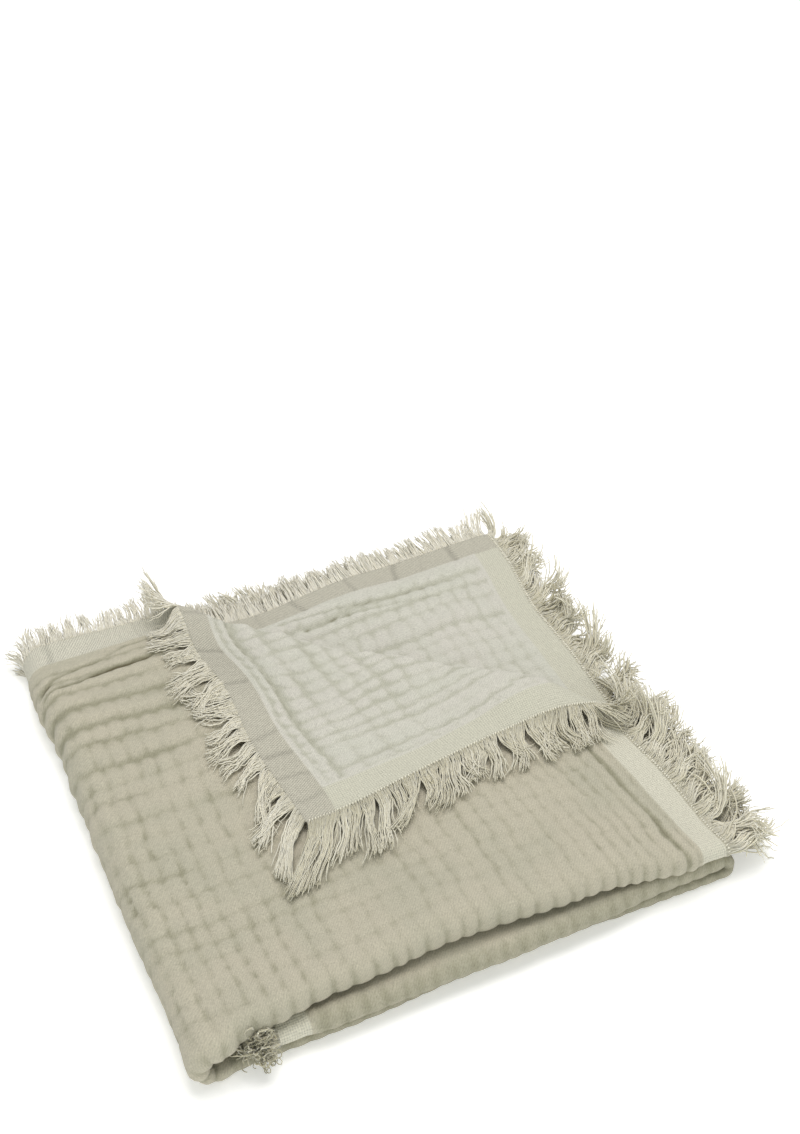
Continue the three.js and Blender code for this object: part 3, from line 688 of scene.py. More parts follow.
# Each cell of the sheet as its corner in the finest cells and its size in them
def leafCells(want):
    covered = np.zeros(want.shape, bool)
    leaves = []
    for level in range(cells["levels"] + 1):
        size = 2 ** (cells["levels"] - level)
        blocks = want.reshape(countS // size, size, countV // size, size).max((1, 3))
        free = ~covered[::size, ::size]
        i, j = np.nonzero((blocks <= level) & free)
        leaves.append(np.stack([i * size, j * size, np.full(len(i), size)], 1))
        chosen = np.zeros(blocks.shape, bool)
        chosen[i, j] = True
        covered |= np.kron(chosen, np.ones((size, size), bool))
    return np.concatenate(leaves)


# The two faces of the cloth, joined round the edge, with each point's place on the flat sheet and how
# sunken it is, which sets the painted shade of its colour
def clothMesh():
    leaves = {face: leafCells(wantedLevels(face == "taupe")) for face in ("taupe", "sage")}
    used = {face: np.zeros((countS + 1, countV + 1), bool) for face in leaves}
    for face, rows in leaves.items():
        for di, dj in ((0, 0), (1, 0), (1, 1), (0, 1)):
            used[face][rows[:, 0] + di * rows[:, 2], rows[:, 1] + dj * rows[:, 2]] = True
    around = np.zeros((countS + 1, countV + 1), bool)
    around[[0, -1], :] = True
    around[:, [0, -1]] = True
    both = (used["taupe"] | used["sage"]) & around
    points, flats, shadeMarks = [], [], []
    index = {}
    start = 0
    for face, sign in (("taupe", 1), ("sage", -1)):
        used[face] |= both
        i, j = np.nonzero(used[face])
        s, v = nodeS[i], nodeV[j]
        place, alongS, alongV, normal = sheetFrame(s, v)
        shown = showing(s, v, face == "taupe")
        if face == "taupe":
            height, sunkenShade = faceRelief(s, v, "outer", shown)
        else:
            high, shadeHigh = faceRelief(s, v, "corner", shown)
            low, shadeLow = faceRelief(s, v, "lining", shown)
            height, sunkenShade = np.where(v > 0, high, low), np.where(v > 0, shadeHigh, shadeLow)
        edge = np.minimum(np.minimum(s, sheet["length"] - s), sheet["halfWidth"] - np.abs(v))
        height = between(0.5, height, ease(edge, -0.1, 3))
        moved = place + sign * normal * height[:, None]
        moved[:, 2] = np.maximum(moved[:, 2], 0.05)
        points.append(moved)
        flats.append(np.stack([s, v, edge], 1))
        shadeMarks.append(sunkenShade)
        numbers = np.full(used[face].shape, -1)
        numbers[i, j] = start + np.arange(len(i))
        index[face] = numbers
        start += len(i)
    faces, finish = [], []
    for face, turn in (("taupe", -1), ("sage", 1)):
        numbers, mark = index[face], used[face]
        for i, j, size in leaves[face]:
            if size == 1:
                ring = [numbers[i, j], numbers[i + 1, j], numbers[i + 1, j + 1], numbers[i, j + 1]]
            else:
                walk = [numbers[i:i + size, j], numbers[i + size, j:j + size],
                        numbers[i + size:i:-1, j + size], numbers[i, j + size:j:-1]]
                ring = [n for part in walk for n in part if n >= 0]
            faces.append(ring[::turn])
            finish.append(0 if face == "taupe" else 1)
    rim = ([(i, 0) for i in range(countS)] + [(countS, j) for j in range(countV)]
           + [(i, countV) for i in range(countS, 0, -1)] + [(0, j) for j in range(countV, 0, -1)])
    rim = np.array([(i, j) for i, j in rim if both[i, j]])
    s, v = nodeS[rim[:, 0]], nodeV[rim[:, 1]]
    place, alongS, alongV, normal = sheetFrame(s, v)
    atEnd = (s > sheet["length"] - 0.01).astype(float) - (s < 0.01)
    atSide = (v > sheet["halfWidth"] - 0.01).astype(float) - (v < 0.01 - sheet["halfWidth"])
    out = alongS * atEnd[:, None] + alongV * atSide[:, None]
    middle = place + unit(out) * 0.3
    middle[:, 2] = np.maximum(middle[:, 2], 0.4)
    points.append(middle)
    flats.append(np.stack([s, v, np.zeros(len(s))], 1))
    shadeMarks.append(np.zeros(len(s)))
    for k in range(len(rim)):
        n = (k + 1) % len(rim)
        a, b, midA, midB = rim[k], rim[n], start + k, start + n
        faces.append([index["sage"][tuple(b)], index["sage"][tuple(a)], midA, midB])
        faces.append([midB, midA, index["taupe"][tuple(a)], index["taupe"][tuple(b)]])
        finish += [1, 0]
    return np.concatenate(points), faces, finish, np.concatenate(flats), np.concatenate(shadeMarks)


# A mesh of points in millimetres. counts has the corners of each face, and loops their points.
def makeMesh(name, points, counts, loops, attributes, finish=None):
    mesh = bpy.data.meshes.new(name)
    mesh.vertices.add(len(points))
    mesh.vertices.foreach_set("co", ((points - pileMiddle) / 1000).astype(np.float32).ravel())
    mesh.loops.add(len(loops))
    mesh.loops.foreach_set("vertex_index", loops.astype(np.int32))
    mesh.polygons.add(len(counts))
    mesh.polygons.foreach_set("loop_start", np.concatenate([[0], np.cumsum(counts)[:-1]]).astype(np.int32))
    mesh.polygons.foreach_set("use_smooth", np.ones(len(counts), bool))
    if finish is not None:
        mesh.polygons.foreach_set("material_index", np.array(finish, np.int32))
    mesh.update(calc_edges=True)
    for key, values in attributes.items():
        kind, field = ("FLOAT", "value") if values.ndim == 1 else ("FLOAT_VECTOR", "vector")
        attribute = mesh.attributes.new(key, kind, "POINT")
        attribute.data.foreach_set(field, values.astype(np.float32).ravel())
    mesh.validate()
    piece = bpy.data.objects.new(name, mesh)
    scene.collection.objects.link(piece)
    return piece


points, faces, finish, flats, shadeMarks = clothMesh()
counts = np.array([len(face) for face in faces])
marks = {"flat": flats, "sunkenShade": shadeMarks}
cloth = makeMesh("muslin_sheet", points, counts, np.concatenate(faces), marks, finish)
triangles = sum(len(p.vertices) - 2 for p in cloth.data.polygons)
print("stage: cloth,", len(faces), "faces,", triangles, "triangles")


# Fringe: loose yarns in locks, each yarn a thin tube that leaves the edge of the sheet, bends and waves.
# Pairs are the least and the most that a yarn draws.
yarn = {
    "inside": 1.0, "stray": 0.08, "strayGather": 0.05, "lengthScatter": 0.16, "lying": 2.9,
    "lyingHigher": (-0.2, 2.6), "crimpLength": 8.5, "wave": 1.2, "waveLength": 30.0,
    "thickness": (0.7, 1.25), "taper": 0.35,
    "stitchPitch": 1.9, "stitchLength": 2.2, "stitchSlant": 0.8, "stitchRise": 0.9, "stitchRadius": 0.62,
    "stitchMark": [0.85, 0.6, 0.3],
}
edges = {
    "backOuter": {"place": lambda t: (t, np.full_like(t, sheet["halfWidth"])), "key": 2, "sign": 1},
    "backInner": {"place": lambda t: (t, np.full_like(t, -sheet["halfWidth"])), "key": 2, "sign": -1},
    "rightEnd": {"place": lambda t: (np.zeros_like(t), t), "key": 1, "sign": -1},
    "innerEnd": {"place": lambda t: (np.full_like(t, sheet["length"]), t), "key": 1, "sign": 1},
}


# A back edge inside the pile: plain yarns, of which little shows
def hiddenFringe(name, edge, start, end, sink):
    return {
        "name": name, "edge": edge, "from": start, "to": end, "perMm": 2.0, "radius": 0.42, "joints": 7,
        "clump": 7, "gather": 0.35, "sway": 1.5, "crimp": 0.2,
        "at": [start, end], "length": 26, "x": 0, "y": 0, "sink": sink, "bend": 0.3, "wave": 0.5, "pale": 0.5,
    }


# For each stretch of an edge: yarns to the millimetre, their radius and joints, the width of the locks, how
# much they gather and sway, and the yarns' crimp. Some yarns lie on the cloth, and some are held by
# stitches. The places in at are along the edge. For all of them, or for each: how dense the yarns stand,
# how long they are, how far they are swept in X and Y and sink, how much they bend from root to tip in
# radians, wave, and are pale.
fringes = [
    {
        "name": "fringe_top_back", "edge": "backOuter", "from": 239, "to": 369, "perMm": 2.8, "radius": 0.4,
        "joints": 9, "clump": 7, "gather": 0.35, "sway": 1.5, "crimp": 0.2,
        "at": [239, 244, 300, 350, 369], "length": [34, 26, 25, 26, 24], "x": [2, 2, 2, -2, -8],
        "y": [4, 0, 0, 0, 0], "sink": [-6, 0, 4, 4, 4], "bend": [0.3, 0.3, 0.3, 0.3, 0.4],
        "wave": [0.5, 0.5, 0.5, 0.5, 1], "pale": [0.9, 0.9, 0.8, 0.8, 0.8],
    },
    {
        "name": "fringe_corner_side", "edge": "backOuter", "from": 2, "to": 239, "perMm": 2.7, "radius": 0.46,
        "joints": 14, "clump": 13, "gather": 0.72, "sway": 5.5, "crimp": 0.45, "lies": True,
        "at": [2, 12, 30, 70, 110, 170, 228, 239], "dense": [2.4, 1.4, 1, 1, 1, 1, 1, 1],
        "length": [32, 33, 33, 31, 29, 29, 26, 30], "x": [10, 3, 4, 4, 2, 0, 0, 0],
        "y": [-42, -34, -24, -14, -8, -4, 0, 8], "bend": [0.3, 0.4, 0.7, 0.9, 0.8, 0.7, 0.4, 0.3],
        "wave": [0.6, 0.8, 1, 1, 1, 0.9, 0.8, 0.8], "pale": [0.15, 0.35, 0.5, 0.6, 0.6, 0.6, 0.7, 1],
    },
    {
        "name": "fringe_corner_front", "edge": "rightEnd", "from": 132, "to": 349, "perMm": 3.5,
        "radius": 0.45, "joints": 14, "clump": 9, "gather": 0.5, "sway": 3.5, "crimp": 0.25,
        "lies": True, "stitched": True,
        "at": [132, 150, 190, 250, 320, 338, 349], "dense": [1, 1, 1, 1, 1, 1.4, 2.2],
        "length": [22, 26, 32, 33, 36, 40, 43], "x": [2, 2, -8, -16, -20, -28, -34],
        "y": [2, 2, 0, 0, -2, -3, -4], "bend": [0.9, 0.9, 0.8, 0.6, 0.5, 0.3, 0.25],
        "wave": [1, 1, 1, 1, 0.9, 0.7, 0.6], "pale": [0.2, 0.2, 0.22, 0.2, 0.15, 0.1, 0.05],
    },
    {
        "name": "fringe_top_end", "edge": "rightEnd", "from": -349, "to": 132, "perMm": 3.6, "radius": 0.55,
        "joints": 15, "clump": 9, "gather": 0.5, "sway": 4.0, "crimp": 0.32, "stitched": True,
        "at": [-349, -325, -140, -14, 0, 30, 132], "dense": [1, 0.95, 1.05, 1.3, 1.6, 1.3, 1.1],
        "length": [34, 38, 40, 40, 42, 42, 40], "x": [-22, -9, -6, -2, 0, -3, -6],
        "y": [20, 20, 20, 8, 4, 14, 22], "sink": [1, 1, 1, 3, 3, 1, 1],
        "bend": [0.6, 1.0, 1.1, 1.0, 0.9, 1.1, 1.1], "wave": [0.9, 1.2, 1.4, 1.4, 1.3, 1.4, 1.4],
        "pale": [0.25, 0.15, 0.12, 0.2, 0.3, 0.25, 0.2],
    },
    {
        "name": "fringe_under_back", "edge": "backInner", "from": 2, "to": 368, "perMm": 2.8, "radius": 0.4,
        "joints": 9, "clump": 6, "gather": 0.3, "sway": 1.2, "crimp": 0.12,
        "at": [2, 14, 60, 300, 368], "length": [32, 27, 24, 25, 23], "x": [8, 2, 0, 0, -3], "y": 0,
        "sink": [-2, 2, 2, 2, 2], "bend": [0.4, 0.25, 0.15, 0.15, 0.15], "wave": [0.6, 0.3, 0.25, 0.25, 0.2],
        "pale": 0.8,
    },
    hiddenFringe("fringe_bottom_back", "backOuter", 369, 704, 0.4),
    hiddenFringe("fringe_lining_back", "backInner", 369, 704, 2),
    hiddenFringe("fringe_inner_back", "backOuter", 705, 1020, 2.8),
    hiddenFringe("fringe_middle_back", "backInner", 705, 1020, 2.1),
    {
        "name": "fringe_inner_end", "edge": "innerEnd", "from": -348, "to": 348, "perMm": 1.4, "radius": 0.5,
        "joints": 11, "clump": 6, "gather": 0.25, "sway": 1.5, "crimp": 0.2,
        "at": [-348, -26, -15, 0, 13, 24, 348], "dense": [1, 1, 6, 8, 6, 1, 1],
        "length": [25, 25, 24, 27, 24, 25, 25], "x": [0, 0, -8, -11, -8, 0, 0], "y": [0, 0, -1, -2, -1, 0, 0],
        "sink": [1.2, 1.2, -4, -6, -4, 1.2, 1.2], "bend": [0.2, 0.4, 5.0, 5.6, 5.0, 0.4, 0.2],
        "wave": [0.5, 0.6, 0.8, 0.8, 0.8, 0.6, 0.5], "pale": [0.2, 0, 0, 0, 0, 0, 0.2],
    },
]


# Three-sided tubes round lines of the shape (yarns, joints, 3)
def tubesRound(line, radius, turn):
    count, joints = line.shape[:2]
    tangent = unit(np.gradient(line, axis=1))
    first = unit(np.cross(tangent, np.array([0.02, 0.05, 1.0])))
    second = np.cross(first, tangent)
    angles = [2 * np.pi * side / 3 + turn for side in range(3)]
    tube = np.stack([line + radius * (np.cos(angle) * first + np.sin(angle) * second) for angle in angles], 2)
    ids = np.arange(count * joints * 3).reshape(count, joints, 3)
    walls = [np.stack([ids[:, :-1, c], ids[:, :-1, (c + 1) % 3], ids[:, 1:, (c + 1) % 3], ids[:, 1:, c]], -1)
             for c in range(3)]
    caps = np.concatenate([ids[:, 0, ::-1], ids[:, -1]])
    return tube.reshape(-1, 3), np.concatenate([w.reshape(-1, 4) for w in walls]), caps


# A value of a row at places along its edge
def alongRow(row, column, t):
    return np.interp(t, row["at"], np.broadcast_to(row[column], len(row["at"])))


# A place on an edge, with the directions outward, along the edge and off the taupe face
def edgeFrame(edge, t):
    place = sheetFrame(*edge["place"](t))
    out = place[edge["key"]] * edge["sign"]
    return place[0], out, unit(np.cross(place[3], out)), place[3]


# One value for each yarn, to go with all its points
def each(values):
    return values[:, None, None]


# Where the yarns leave the edge, the middles of the locks, and the lock of each yarn
def rootsAndLocks(row, rng):
    span = row["to"] - row["from"]
    spread = np.linspace(row["from"], row["to"], 700)
    density = alongRow(row, "dense", spread) if "dense" in row else np.ones(700)
    reached = np.cumsum(density) / density.sum()
    count = int(span * row["perMm"] * density.mean())
    shares = (np.arange(count) + 0.5 + 0.4 * rng.uniform(-1, 1, count)) / count
    roots = np.interp(shares, reached, spread)
    clumps = max(2, int(span / row["clump"]))
    middles = row["from"] + span * (np.arange(clumps) + 0.5 + 0.35 * rng.uniform(-1, 1, clumps)) / clumps
    own = np.abs(roots[:, None] + 1.5 * rng.normal(0, 1, count)[:, None] - middles[None, :]).argmin(1)
    return roots, middles, own


# The short stitches that hold the yarns at the edge
def stitchTubes(row, rng):
    places = np.arange(row["from"] + 1, row["to"], yarn["stitchPitch"])
    count = len(places)
    point, out, side, normal = edgeFrame(edges[row["edge"]], places + 0.25 * rng.uniform(-1, 1, count))
    f = np.linspace(0, 1, 5)[None, :, None]
    size = yarn["stitchRadius"] * rng.uniform(0.75, 1.2, (count, 1, 1))
    size = size * np.sin(np.pi * (0.08 + 0.84 * f)) ** 0.5
    line = point[:, None] + out[:, None] * (f - 0.4) * yarn["stitchLength"]
    line = line + side[:, None] * (f - 0.5) * yarn["stitchSlant"]
    line = line + normal[:, None] * yarn["stitchRise"] * np.sin(np.pi * f) * np.sign(normal[:, None, 2:])
    return tubesRound(line, size, np.zeros((count, 1, 1)))


def fringeMesh(row, seed):
    rng = np.random.default_rng(seed)
    edge = edges[row["edge"]]
    lies = row.get("lies", False)
    roots, middles, own = rootsAndLocks(row, rng)
    count, clumps = len(roots), len(middles)
    lean = rng.normal(0, 1.0, clumps)[own]
    lockLength = 1 + yarn["lengthScatter"] * rng.uniform(-1, 1, clumps)[own]
    phase = rng.uniform(0, 2 * np.pi, clumps)[own]
    lockBend = np.clip(rng.normal(0, 1, clumps), -1.7, 1.7)[own]
    mostTilt = 0.25 if lies else 0.9
    lockTilt = rng.uniform(-mostTilt, mostTilt, clumps)[own]

    length = alongRow(row, "length", roots) * lockLength * (1 + 0.1 * rng.uniform(-1, 1, count))
    strayed = rng.uniform(0, 1, count) < yarn["stray"]
    gather = row["gather"] * (rng.uniform(0.35, 1.6, clumps)[own] + 0.3 * rng.uniform(-1, 1, count))
    gather = np.where(strayed, yarn["strayGather"], np.clip(gather, 0, 0.9))
    sway = rng.normal(0, row["sway"], clumps)[own] + rng.normal(0, 0.35 * row["sway"], count)
    mostBend = alongRow(row, "bend", roots)
    bend = mostBend * (lockBend + rng.normal(0, 0.45, count))
    tilt = lockTilt + rng.normal(0, 0.35, count)
    curled = np.clip(mostBend - 2, 0, 1)  # only the yarns of the tuft curl up
    bend = between(bend, mostBend * rng.uniform(0.5, 1.5, count), curled)
    length = length * between(1, rng.uniform(0.6, 1.15, count), curled)
    tilt = between(tilt, rng.uniform(-np.pi, np.pi, count), curled)
    fanned = curled * rng.uniform(-0.9, 0.9, count)
    f = np.linspace(0, 1, row["joints"] + 1)[None, :, None]

    def path(point, outward, sideways, upward, t):
        turning = each(fanned) + each(bend) * f ** (1.2 + 0.5 * each(curled))
        towards = sideways * np.cos(tilt)[:, None] + upward * np.sin(tilt)[:, None]
        heading = outward[:, None] * np.cos(turning) + towards[:, None] * np.sin(turning)
        steps = (heading[:, 1:] + heading[:, :-1]) / 2 * each(length / row["joints"])
        line = point[:, None] + np.concatenate([np.zeros((count, 1, 3)), np.cumsum(steps, 1)], 1)
        for axis, column in enumerate(("x", "y")):
            line[..., axis] += alongRow(row, column, t)[:, None] * f[..., 0] ** 1.25
        return line + sideways[:, None] * (each(sway) * f ** 1.5)

    root, out, side, normal = edgeFrame(edge, roots)
    start = root + normal * (0.7 * rng.uniform(-0.5, 1, count))[:, None] - out * yarn["inside"]
    ownPath = path(start, out, side, normal, roots)
    lockPath = path(*(part[own] for part in edgeFrame(edge, middles)), middles[own])
    line = between(ownPath, lockPath, each(gather) * ease(f, -0.1, 0.7))
    line = line + normal[:, None] * (each(lean) + each(rng.normal(0, 0.6, count))) * f

    def ripple(size, spacing, at):
        turns = 2 * np.pi * each(length) * f / spacing + each(at)
        across, up = np.sin(turns) - np.sin(each(at)), np.cos(turns) - np.cos(each(at))
        return size * ease(f, 0, 0.3) * (side[:, None] * across + normal[:, None] * 0.6 * up)

    crimp = row["crimp"] * rng.uniform(0.5, 1.4, (count, 1, 1))
    crimpLength = yarn["crimpLength"] * rng.uniform(0.85, 1.2, (count, 1, 1))
    line = line + ripple(crimp, crimpLength, phase * 3 + rng.normal(0, 1.0, count))
    wave = each(alongRow(row, "wave", roots)) * yarn["wave"] * rng.uniform(0.7, 1.3, (count, 1, 1))
    line = line + ripple(wave, yarn["waveLength"], phase + rng.normal(0, 0.35, count))
    if lies:
        x, y, free = line[..., 0], line[..., 1], line[..., 2]
        ground = settle(np.stack([x, y, outerHeight(x, y)], -1))[..., 2]
        over = ground + yarn["lying"] + rng.uniform(*yarn["lyingHigher"], count)[:, None]
        onRoll = (normal[:, 2] > -0.9)[:, None]
        settled = between(free, np.maximum(over, 0), ease(f[..., 0], 0.02, 0.6))
        line[..., 2] = np.where(onRoll, np.maximum(free, over), settled)
    else:
        line[..., 2] -= alongRow(row, "sink", roots)[:, None] * f[..., 0] ** 1.5
    line[..., 2] = np.maximum(line[..., 2], 0.5)
    radius = row["radius"] * rng.uniform(*yarn["thickness"], (count, 1, 1)) * (1 - yarn["taper"] * f ** 3)
    points, walls, caps = tubesRound(line, radius, rng.uniform(0, 2 * np.pi, (count, 1, 1)))
    tone = rng.uniform(0, 1, count) * 0.55 + rng.uniform(0, 1, clumps)[own] * 0.45
    # The second mark sets the painted shade at the roots; the curled yarns of the tuft get it nearly all their
    # length, as painted shade for the tuft, which sits in the shadow of the fold
    marks = (each(tone), f * (1 - 0.9 * each(curled)), each(alongRow(row, "pale", roots)))
    marks = [np.broadcast_to(mark, (count, row["joints"] + 1, 3)) for mark in marks]
    marks = np.stack(marks, -1).reshape(-1, 3)
    if row.get("stitched", False):
        more, moreWalls, moreCaps = stitchTubes(row, rng)
        walls = np.concatenate([walls, moreWalls + len(points)])
        caps = np.concatenate([caps, moreCaps + len(points)])
        points = np.concatenate([points, more])
        marks = np.concatenate([marks, np.tile(yarn["stitchMark"], (len(more), 1))])
    return points, walls, caps, marks


def makeFringe(row, seed):
    points, walls, caps, marks = fringeMesh(row, seed)
    counts = np.concatenate([np.full(len(walls), 4), np.full(len(caps), 3)])
    loops = np.concatenate([walls.ravel(), caps.ravel()])
    piece = makeMesh(row["name"] + "_yarn", points, counts, loops, {"yarn": marks})
    print("stage:", piece.name, len(walls) * 2 + len(caps), "triangles")
    return piece


fringePieces = [makeFringe(row, 101 + n) for n, row in enumerate(fringes)]


# Shader maths: one socket of a node tree, with the arithmetic that the finishes use
class Wire:
    def __init__(self, tree, socket):
        self.tree, self.socket = tree, socket

    def node(self, kind, settings=None, sockets=None, output=0):
        return addNode(self.tree, kind, settings, sockets, output)

    def math(self, operation, *values):
        return self.node("ShaderNodeMath", {"operation": operation}, dict(enumerate(values)))

    def __add__(self, other):
        return self.math("ADD", self, other)

    def __radd__(self, other):
        return self.math("ADD", other, self)

    def __sub__(self, other):
        return self.math("SUBTRACT", self, other)

    def __rsub__(self, other):
        return self.math("SUBTRACT", other, self)

    def __mul__(self, other):
        return self.math("MULTIPLY", self, other)

    def __rmul__(self, other):
        return self.math("MULTIPLY", other, self)


def addNode(tree, kind, settings=None, sockets=None, output=0):
    node = tree.nodes.new(kind)
    for key, value in (settings or {}).items():
        setattr(node, key, value)
    for key, value in (sockets or {}).items():
        if isinstance(value, Wire):
            tree.links.new(value.socket, node.inputs[key])
        else:
            node.inputs[key].default_value = value
    return Wire(tree, node.outputs[output])


# A colour as a screen shows it, in 0 to 255, in Blender's linear values
def linear(*colour):
    return (*(((part / 255 + 0.055) / 1.055) ** 2.4 for part in colour), 1.0)


def newFinish(name, roughness, sheen):
    material = bpy.data.materials.new(name)
    material.use_nodes = True
    tree = material.node_tree
    shader = tree.nodes["Principled BSDF"]
    shader.inputs["Roughness"].default_value = roughness
    shader.inputs["Specular IOR Level"].default_value = 0.12
    shader.inputs["Sheen Weight"].default_value = sheen
    shader.inputs["Sheen Roughness"].default_value = 0.6
    return material, tree, shader


def mixColour(tree, factor, a, b, blend="MIX"):
    settings = {"data_type": "RGBA", "blend_type": blend}
    return addNode(tree, "ShaderNodeMix", settings, {0: factor, 6: a, 7: b}, 2)


# A soft step from 0 to 1
def rise(value, low, high):
    return value.node("ShaderNodeMapRange", {"interpolation_type": "SMOOTHSTEP"},
                      {"Value": value, "From Min": low, "From Max": high})


# Colours of each face: its puffs, cooler patches, sunken lines, partly the denser colour of the tied layers
# and partly painted shade, deep creases, which are painted shade, and the borders of sides and ends
clothColours = {
    "taupe_face": {"puff": (187, 181, 163), "cool": (180, 176, 158), "line": (150, 147, 126),
                   "deep": (96, 90, 68), "sideBorder": (206, 203, 188), "endBorder": (206, 203, 187)},
    "sage_face": {"puff": (203, 200, 190), "cool": (200, 199, 187), "line": (181, 180, 165),
                  "deep": (140, 138, 119), "sideBorder": (193, 189, 174), "endBorder": (198, 196, 180)},
}
# The weave: threads everywhere, twill on the side borders and a check on the end ones. Noises have their
# scale to the millimetre, detail, roughness and distortion. Pairs are where a colour starts and is full.
weave = {
    "patches": (0.018, 3.0, 0.6, 0.0), "grain": (0.85, 2.0, 0.85, 0.0), "folds": (0.16, 4.0, 0.62, 0.6),
    "wrinkles": (0.42, 3.0, 0.65, 0.4), "cool": (0.35, 0.7), "line": (0.1, 1.1), "deep": (0.9, 1.9),
    "pitch": 0.8, "twill": 1.75, "slant": 0.6, "otherSlant": 1.3, "fineTwill": 1.9, "fineSlant": 0.85,
    "check": 3.0, "borderFrom": -1.2, "borderTo": 0.6,
}
# How much each of them changes the shade or the height; the last shade is painted shade in the creases across
# the borders
weaveShade = {"grain": 0.36, "woven": 0.2, "wrinkles": 0.14, "fineTwill": 0.06, "borderCreaseShade": 0.22}
weaveHeight = {"thread": 0.06, "grain": 0.4, "woven": 0.2, "folds": 1.0, "wrinkles": 0.8}


def clothFinish(name, colours):
    material, tree, shader = newFinish(name, 0.95, 0.1)
    flat = addNode(tree, "ShaderNodeAttribute", {"attribute_name": "flat"}, None, 1)
    sunkenShade = addNode(tree, "ShaderNodeAttribute", {"attribute_name": "sunkenShade"}, None, 2)
    s, v, edge = (flat.node("ShaderNodeSeparateXYZ", None, {0: flat}, axis) for axis in range(3))

    def noise(key):
        sockets = dict(zip(("Scale", "Detail", "Roughness", "Distortion"), weave[key]))
        return flat.node("ShaderNodeTexNoise", None, {"Vector": flat, **sockets})

    def wave(value, length):
        value = value * (2 * np.pi / length)
        return value.math("SINE", value)

    def mixed(factor, a, b, blend="MIX"):
        return mixColour(tree, factor, a, b, blend)

    sideEdge = sheet["halfWidth"] - v.math("ABSOLUTE", v)
    atEnd = sideEdge.math("GREATER_THAN", sideEdge, sheet["border"])
    inBorder = 1 - rise(edge, sheet["border"] + weave["borderFrom"], sheet["border"] + weave["borderTo"])
    patches, grain, folds, wrinkles = (noise(key) for key in ("patches", "grain", "folds", "wrinkles"))
    shown = {key: linear(*colour) for key, colour in colours.items()}
    base = mixed(rise(patches, *weave["cool"]), shown["puff"], shown["cool"])
    # Painted shade: sunken places take the line colour, partly also as the tied layers' own denser colour, and
    # deep creases the deep colour
    base = mixed(rise(sunkenShade + (folds - 0.5) * 0.5, *weave["line"]), base, shown["line"])
    base = mixed(rise(sunkenShade, *weave["deep"]), base, shown["deep"])
    base = mixed(inBorder, base, mixed(atEnd, shown["sideBorder"], shown["endBorder"]))

    twill = wave(s + v * weave["slant"] + (folds - 0.5) * 1.5, weave["twill"]) * 0.8
    twill = (twill + wave(s - v * weave["otherSlant"], weave["twill"] * 0.75) * 0.5) * (1 - atEnd)
    check = wave(s + v, weave["check"]) * wave(s - v + (wrinkles - 0.5) * 2.0, weave["check"]) * atEnd * 0.8
    woven = (twill + check) * inBorder
    fineTwill = wave(s + v * weave["fineSlant"] + (wrinkles - 0.5) * 3.0, weave["fineTwill"]) * (1 - inBorder)
    shade = (1 - weaveShade["grain"]) + grain * (2 * weaveShade["grain"]) + woven * weaveShade["woven"]
    shade = shade + (wrinkles - 0.5) * weaveShade["wrinkles"] + fineTwill * weaveShade["fineTwill"]
    # Painted shade in the creases across the borders
    shade = shade - rise(sunkenShade, 0.1, 1.0) * inBorder * weaveShade["borderCreaseShade"]
    grey = flat.node("ShaderNodeCombineXYZ", None, {0: shade, 1: shade, 2: shade})
    tree.links.new(mixed(1.0, base, grey, "MULTIPLY").socket, shader.inputs["Base Color"])

    threads = wave(s, weave["pitch"]) * wave(v, weave["pitch"])
    creases = (folds.math("ABSOLUTE", folds - 0.5) * -weaveHeight["folds"]
               + wrinkles.math("ABSOLUTE", wrinkles - 0.5) * -weaveHeight["wrinkles"])
    height = threads * weaveHeight["thread"] + grain * weaveHeight["grain"] + woven * weaveHeight["woven"]
    height = height + creases * (1 - inBorder * 0.8)
    bump = flat.node("ShaderNodeBump", None, {"Strength": 1.0, "Distance": 0.001, "Height": height})
    tree.links.new(bump.socket, shader.inputs["Normal"])
    return material


# Yarns: from sage to cream, with painted shade at their roots, where the yarns shadow each other. The pairs
# are where a colour starts and is full.
yarnColours = {
    "dark": (181, 174, 146), "middle": (207, 201, 176), "pale": (226, 221, 200), "root": (150, 145, 118),
    "cream": (238, 232, 213),
}
# The root pair and the share after it set the painted shade at the yarns' roots.
yarnLook = {
    "middle": (0.0, 0.5), "pale": (0.45, 0.9), "root": (0.0, 0.35), "rootShadeShare": 0.65, "fuzz": 0.2,
    "fuzzScale": 900.0, "bump": 0.6, "glow": 0.4, "glowDepth": 0.0012,
}


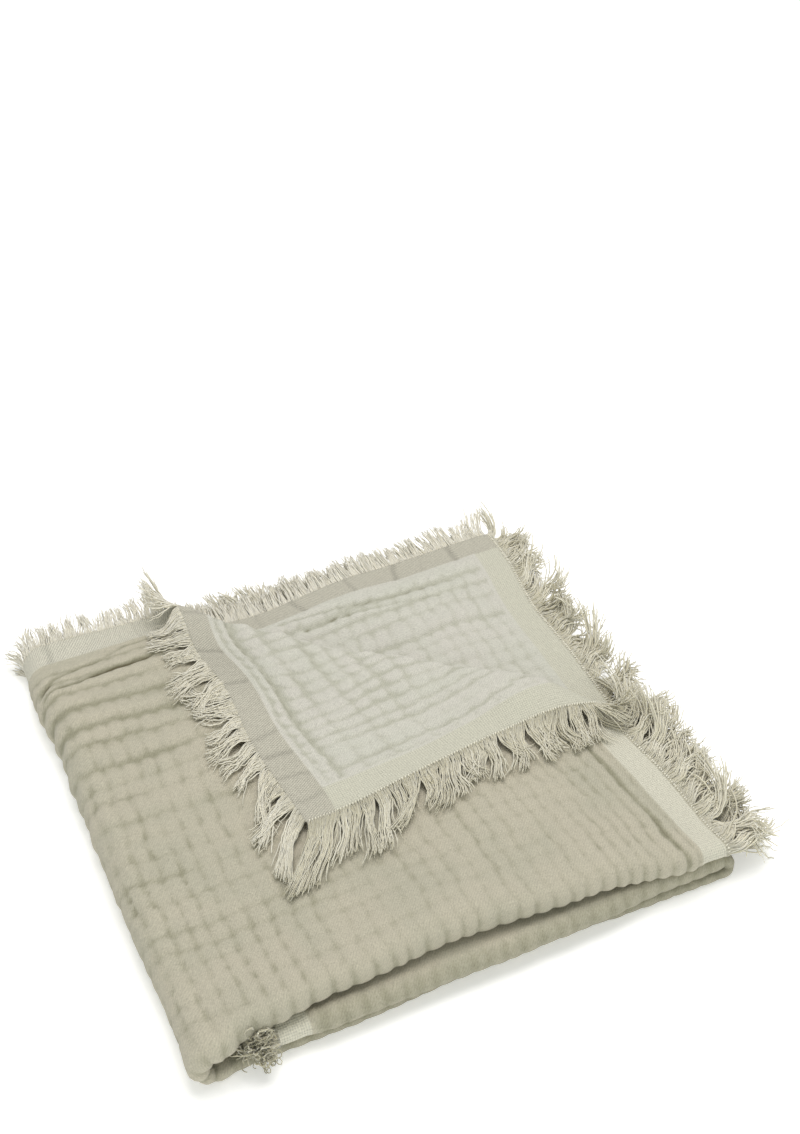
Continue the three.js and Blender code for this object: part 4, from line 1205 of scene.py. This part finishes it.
def yarnFinish():
    material, tree, shader = newFinish("soft_yarn", 0.9, 0.6)
    shader.inputs["Subsurface Weight"].default_value = yarnLook["glow"]
    shader.inputs["Subsurface Radius"].default_value = (1.0, 1.0, 1.0)
    shader.inputs["Subsurface Scale"].default_value = yarnLook["glowDepth"]
    shown = {key: linear(*colour) for key, colour in yarnColours.items()}
    marks = addNode(tree, "ShaderNodeAttribute", {"attribute_name": "yarn"}, None, 1)
    tone, fromRoot, pale = (marks.node("ShaderNodeSeparateXYZ", None, {0: marks}, axis) for axis in range(3))
    base = mixColour(tree, rise(tone, *yarnLook["middle"]), shown["dark"], shown["middle"])
    base = mixColour(tree, rise(tone, *yarnLook["pale"]), base, shown["pale"])
    # Painted shade at the roots of the yarns
    shadeAtRoot = (1 - rise(fromRoot, *yarnLook["root"])) * yarnLook["rootShadeShare"]
    base = mixColour(tree, shadeAtRoot, base, shown["root"])
    base = mixColour(tree, pale, base, shown["cream"])
    place = addNode(tree, "ShaderNodeTexCoord", None, None, 3)
    sockets = {"Vector": place, "Scale": yarnLook["fuzzScale"], "Detail": 2.0}
    fuzz = place.node("ShaderNodeTexNoise", None, sockets)
    shade = (1 - yarnLook["fuzz"] / 2) + fuzz * yarnLook["fuzz"]
    grey = place.node("ShaderNodeCombineXYZ", None, {0: shade, 1: shade, 2: shade})
    base = mixColour(tree, 1.0, base, grey, "MULTIPLY")
    tree.links.new(base.socket, shader.inputs["Base Color"])
    sockets = {"Strength": yarnLook["bump"], "Distance": 0.0003, "Height": fuzz}
    bump = place.node("ShaderNodeBump", None, sockets)
    tree.links.new(bump.socket, shader.inputs["Normal"])
    return material


for name, colours in clothColours.items():
    cloth.data.materials.append(clothFinish(name, colours))
softYarn = yarnFinish()
for piece in fringePieces:
    piece.data.materials.append(softYarn)
print("stage: finishes")

# The blanket is one sheet, and its fringe is held along its edges
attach(cloth, "root")
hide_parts("blanket_cloth")
for row, piece in zip(fringes, fringePieces):
    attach(piece, "root")
    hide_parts(row["name"])

# Studio: a pale floor, a white room, a large soft light overhead and a weaker one low in front, in metres
studio = {
    "floor": 4.5, "floorDrop": 0.0002, "glow": 0.27, "room": 0.55, "roomColour": (0.965, 1.0, 0.965),
    "lights": [
        {"name": "overhead", "power": 28.7, "size": 1.5, "place": (0.2, 0.2, 2.0),
         "colour": (1.0, 0.965, 0.96)},
        {"name": "fill", "power": 4.6, "size": 1.1, "place": (-0.4, -1.55, 0.55), "colour": (0.97, 1.0, 0.93)},
    ],
}


def addStudio():
    half = studio["floor"]
    corners = [(-half, -half, 0), (half, -half, 0), (half, half, 0), (-half, half, 0)]
    mesh = bpy.data.meshes.new("floor")
    mesh.from_pydata(corners, [], [(0, 1, 2, 3)])
    floor = bpy.data.objects.new("floor", mesh)
    floor.location = (0, 0, -studio["floorDrop"])
    scene.collection.objects.link(floor)
    material, tree, shader = newFinish("pale_floor", 0.9, 0.0)
    shader.inputs["Base Color"].default_value = (0.95, 0.95, 0.95, 1)
    shader.inputs["Emission Color"].default_value = (1, 1, 1, 1)
    shader.inputs["Emission Strength"].default_value = studio["glow"]
    mesh.materials.append(material)
    for row in studio["lights"]:
        light = bpy.data.lights.new(row["name"], "AREA")
        light.shape = "DISK"
        light.size = row["size"]
        light.energy = row["power"]
        light.color = row["colour"]
        lamp = bpy.data.objects.new(row["name"], light)
        lamp.location = row["place"]
        lamp.rotation_euler = (-Vector(row["place"])).to_track_quat("-Z", "Y").to_euler()
        scene.collection.objects.link(lamp)
    world = bpy.data.worlds.new("room")
    world.use_nodes = True
    world.node_tree.nodes["Background"].inputs["Color"].default_value = (*studio["roomColour"], 1)
    world.node_tree.nodes["Background"].inputs["Strength"].default_value = studio["room"]
    scene.world = world
    scene.view_settings.view_transform = "Standard"


addStudio()
print("stage: studio")
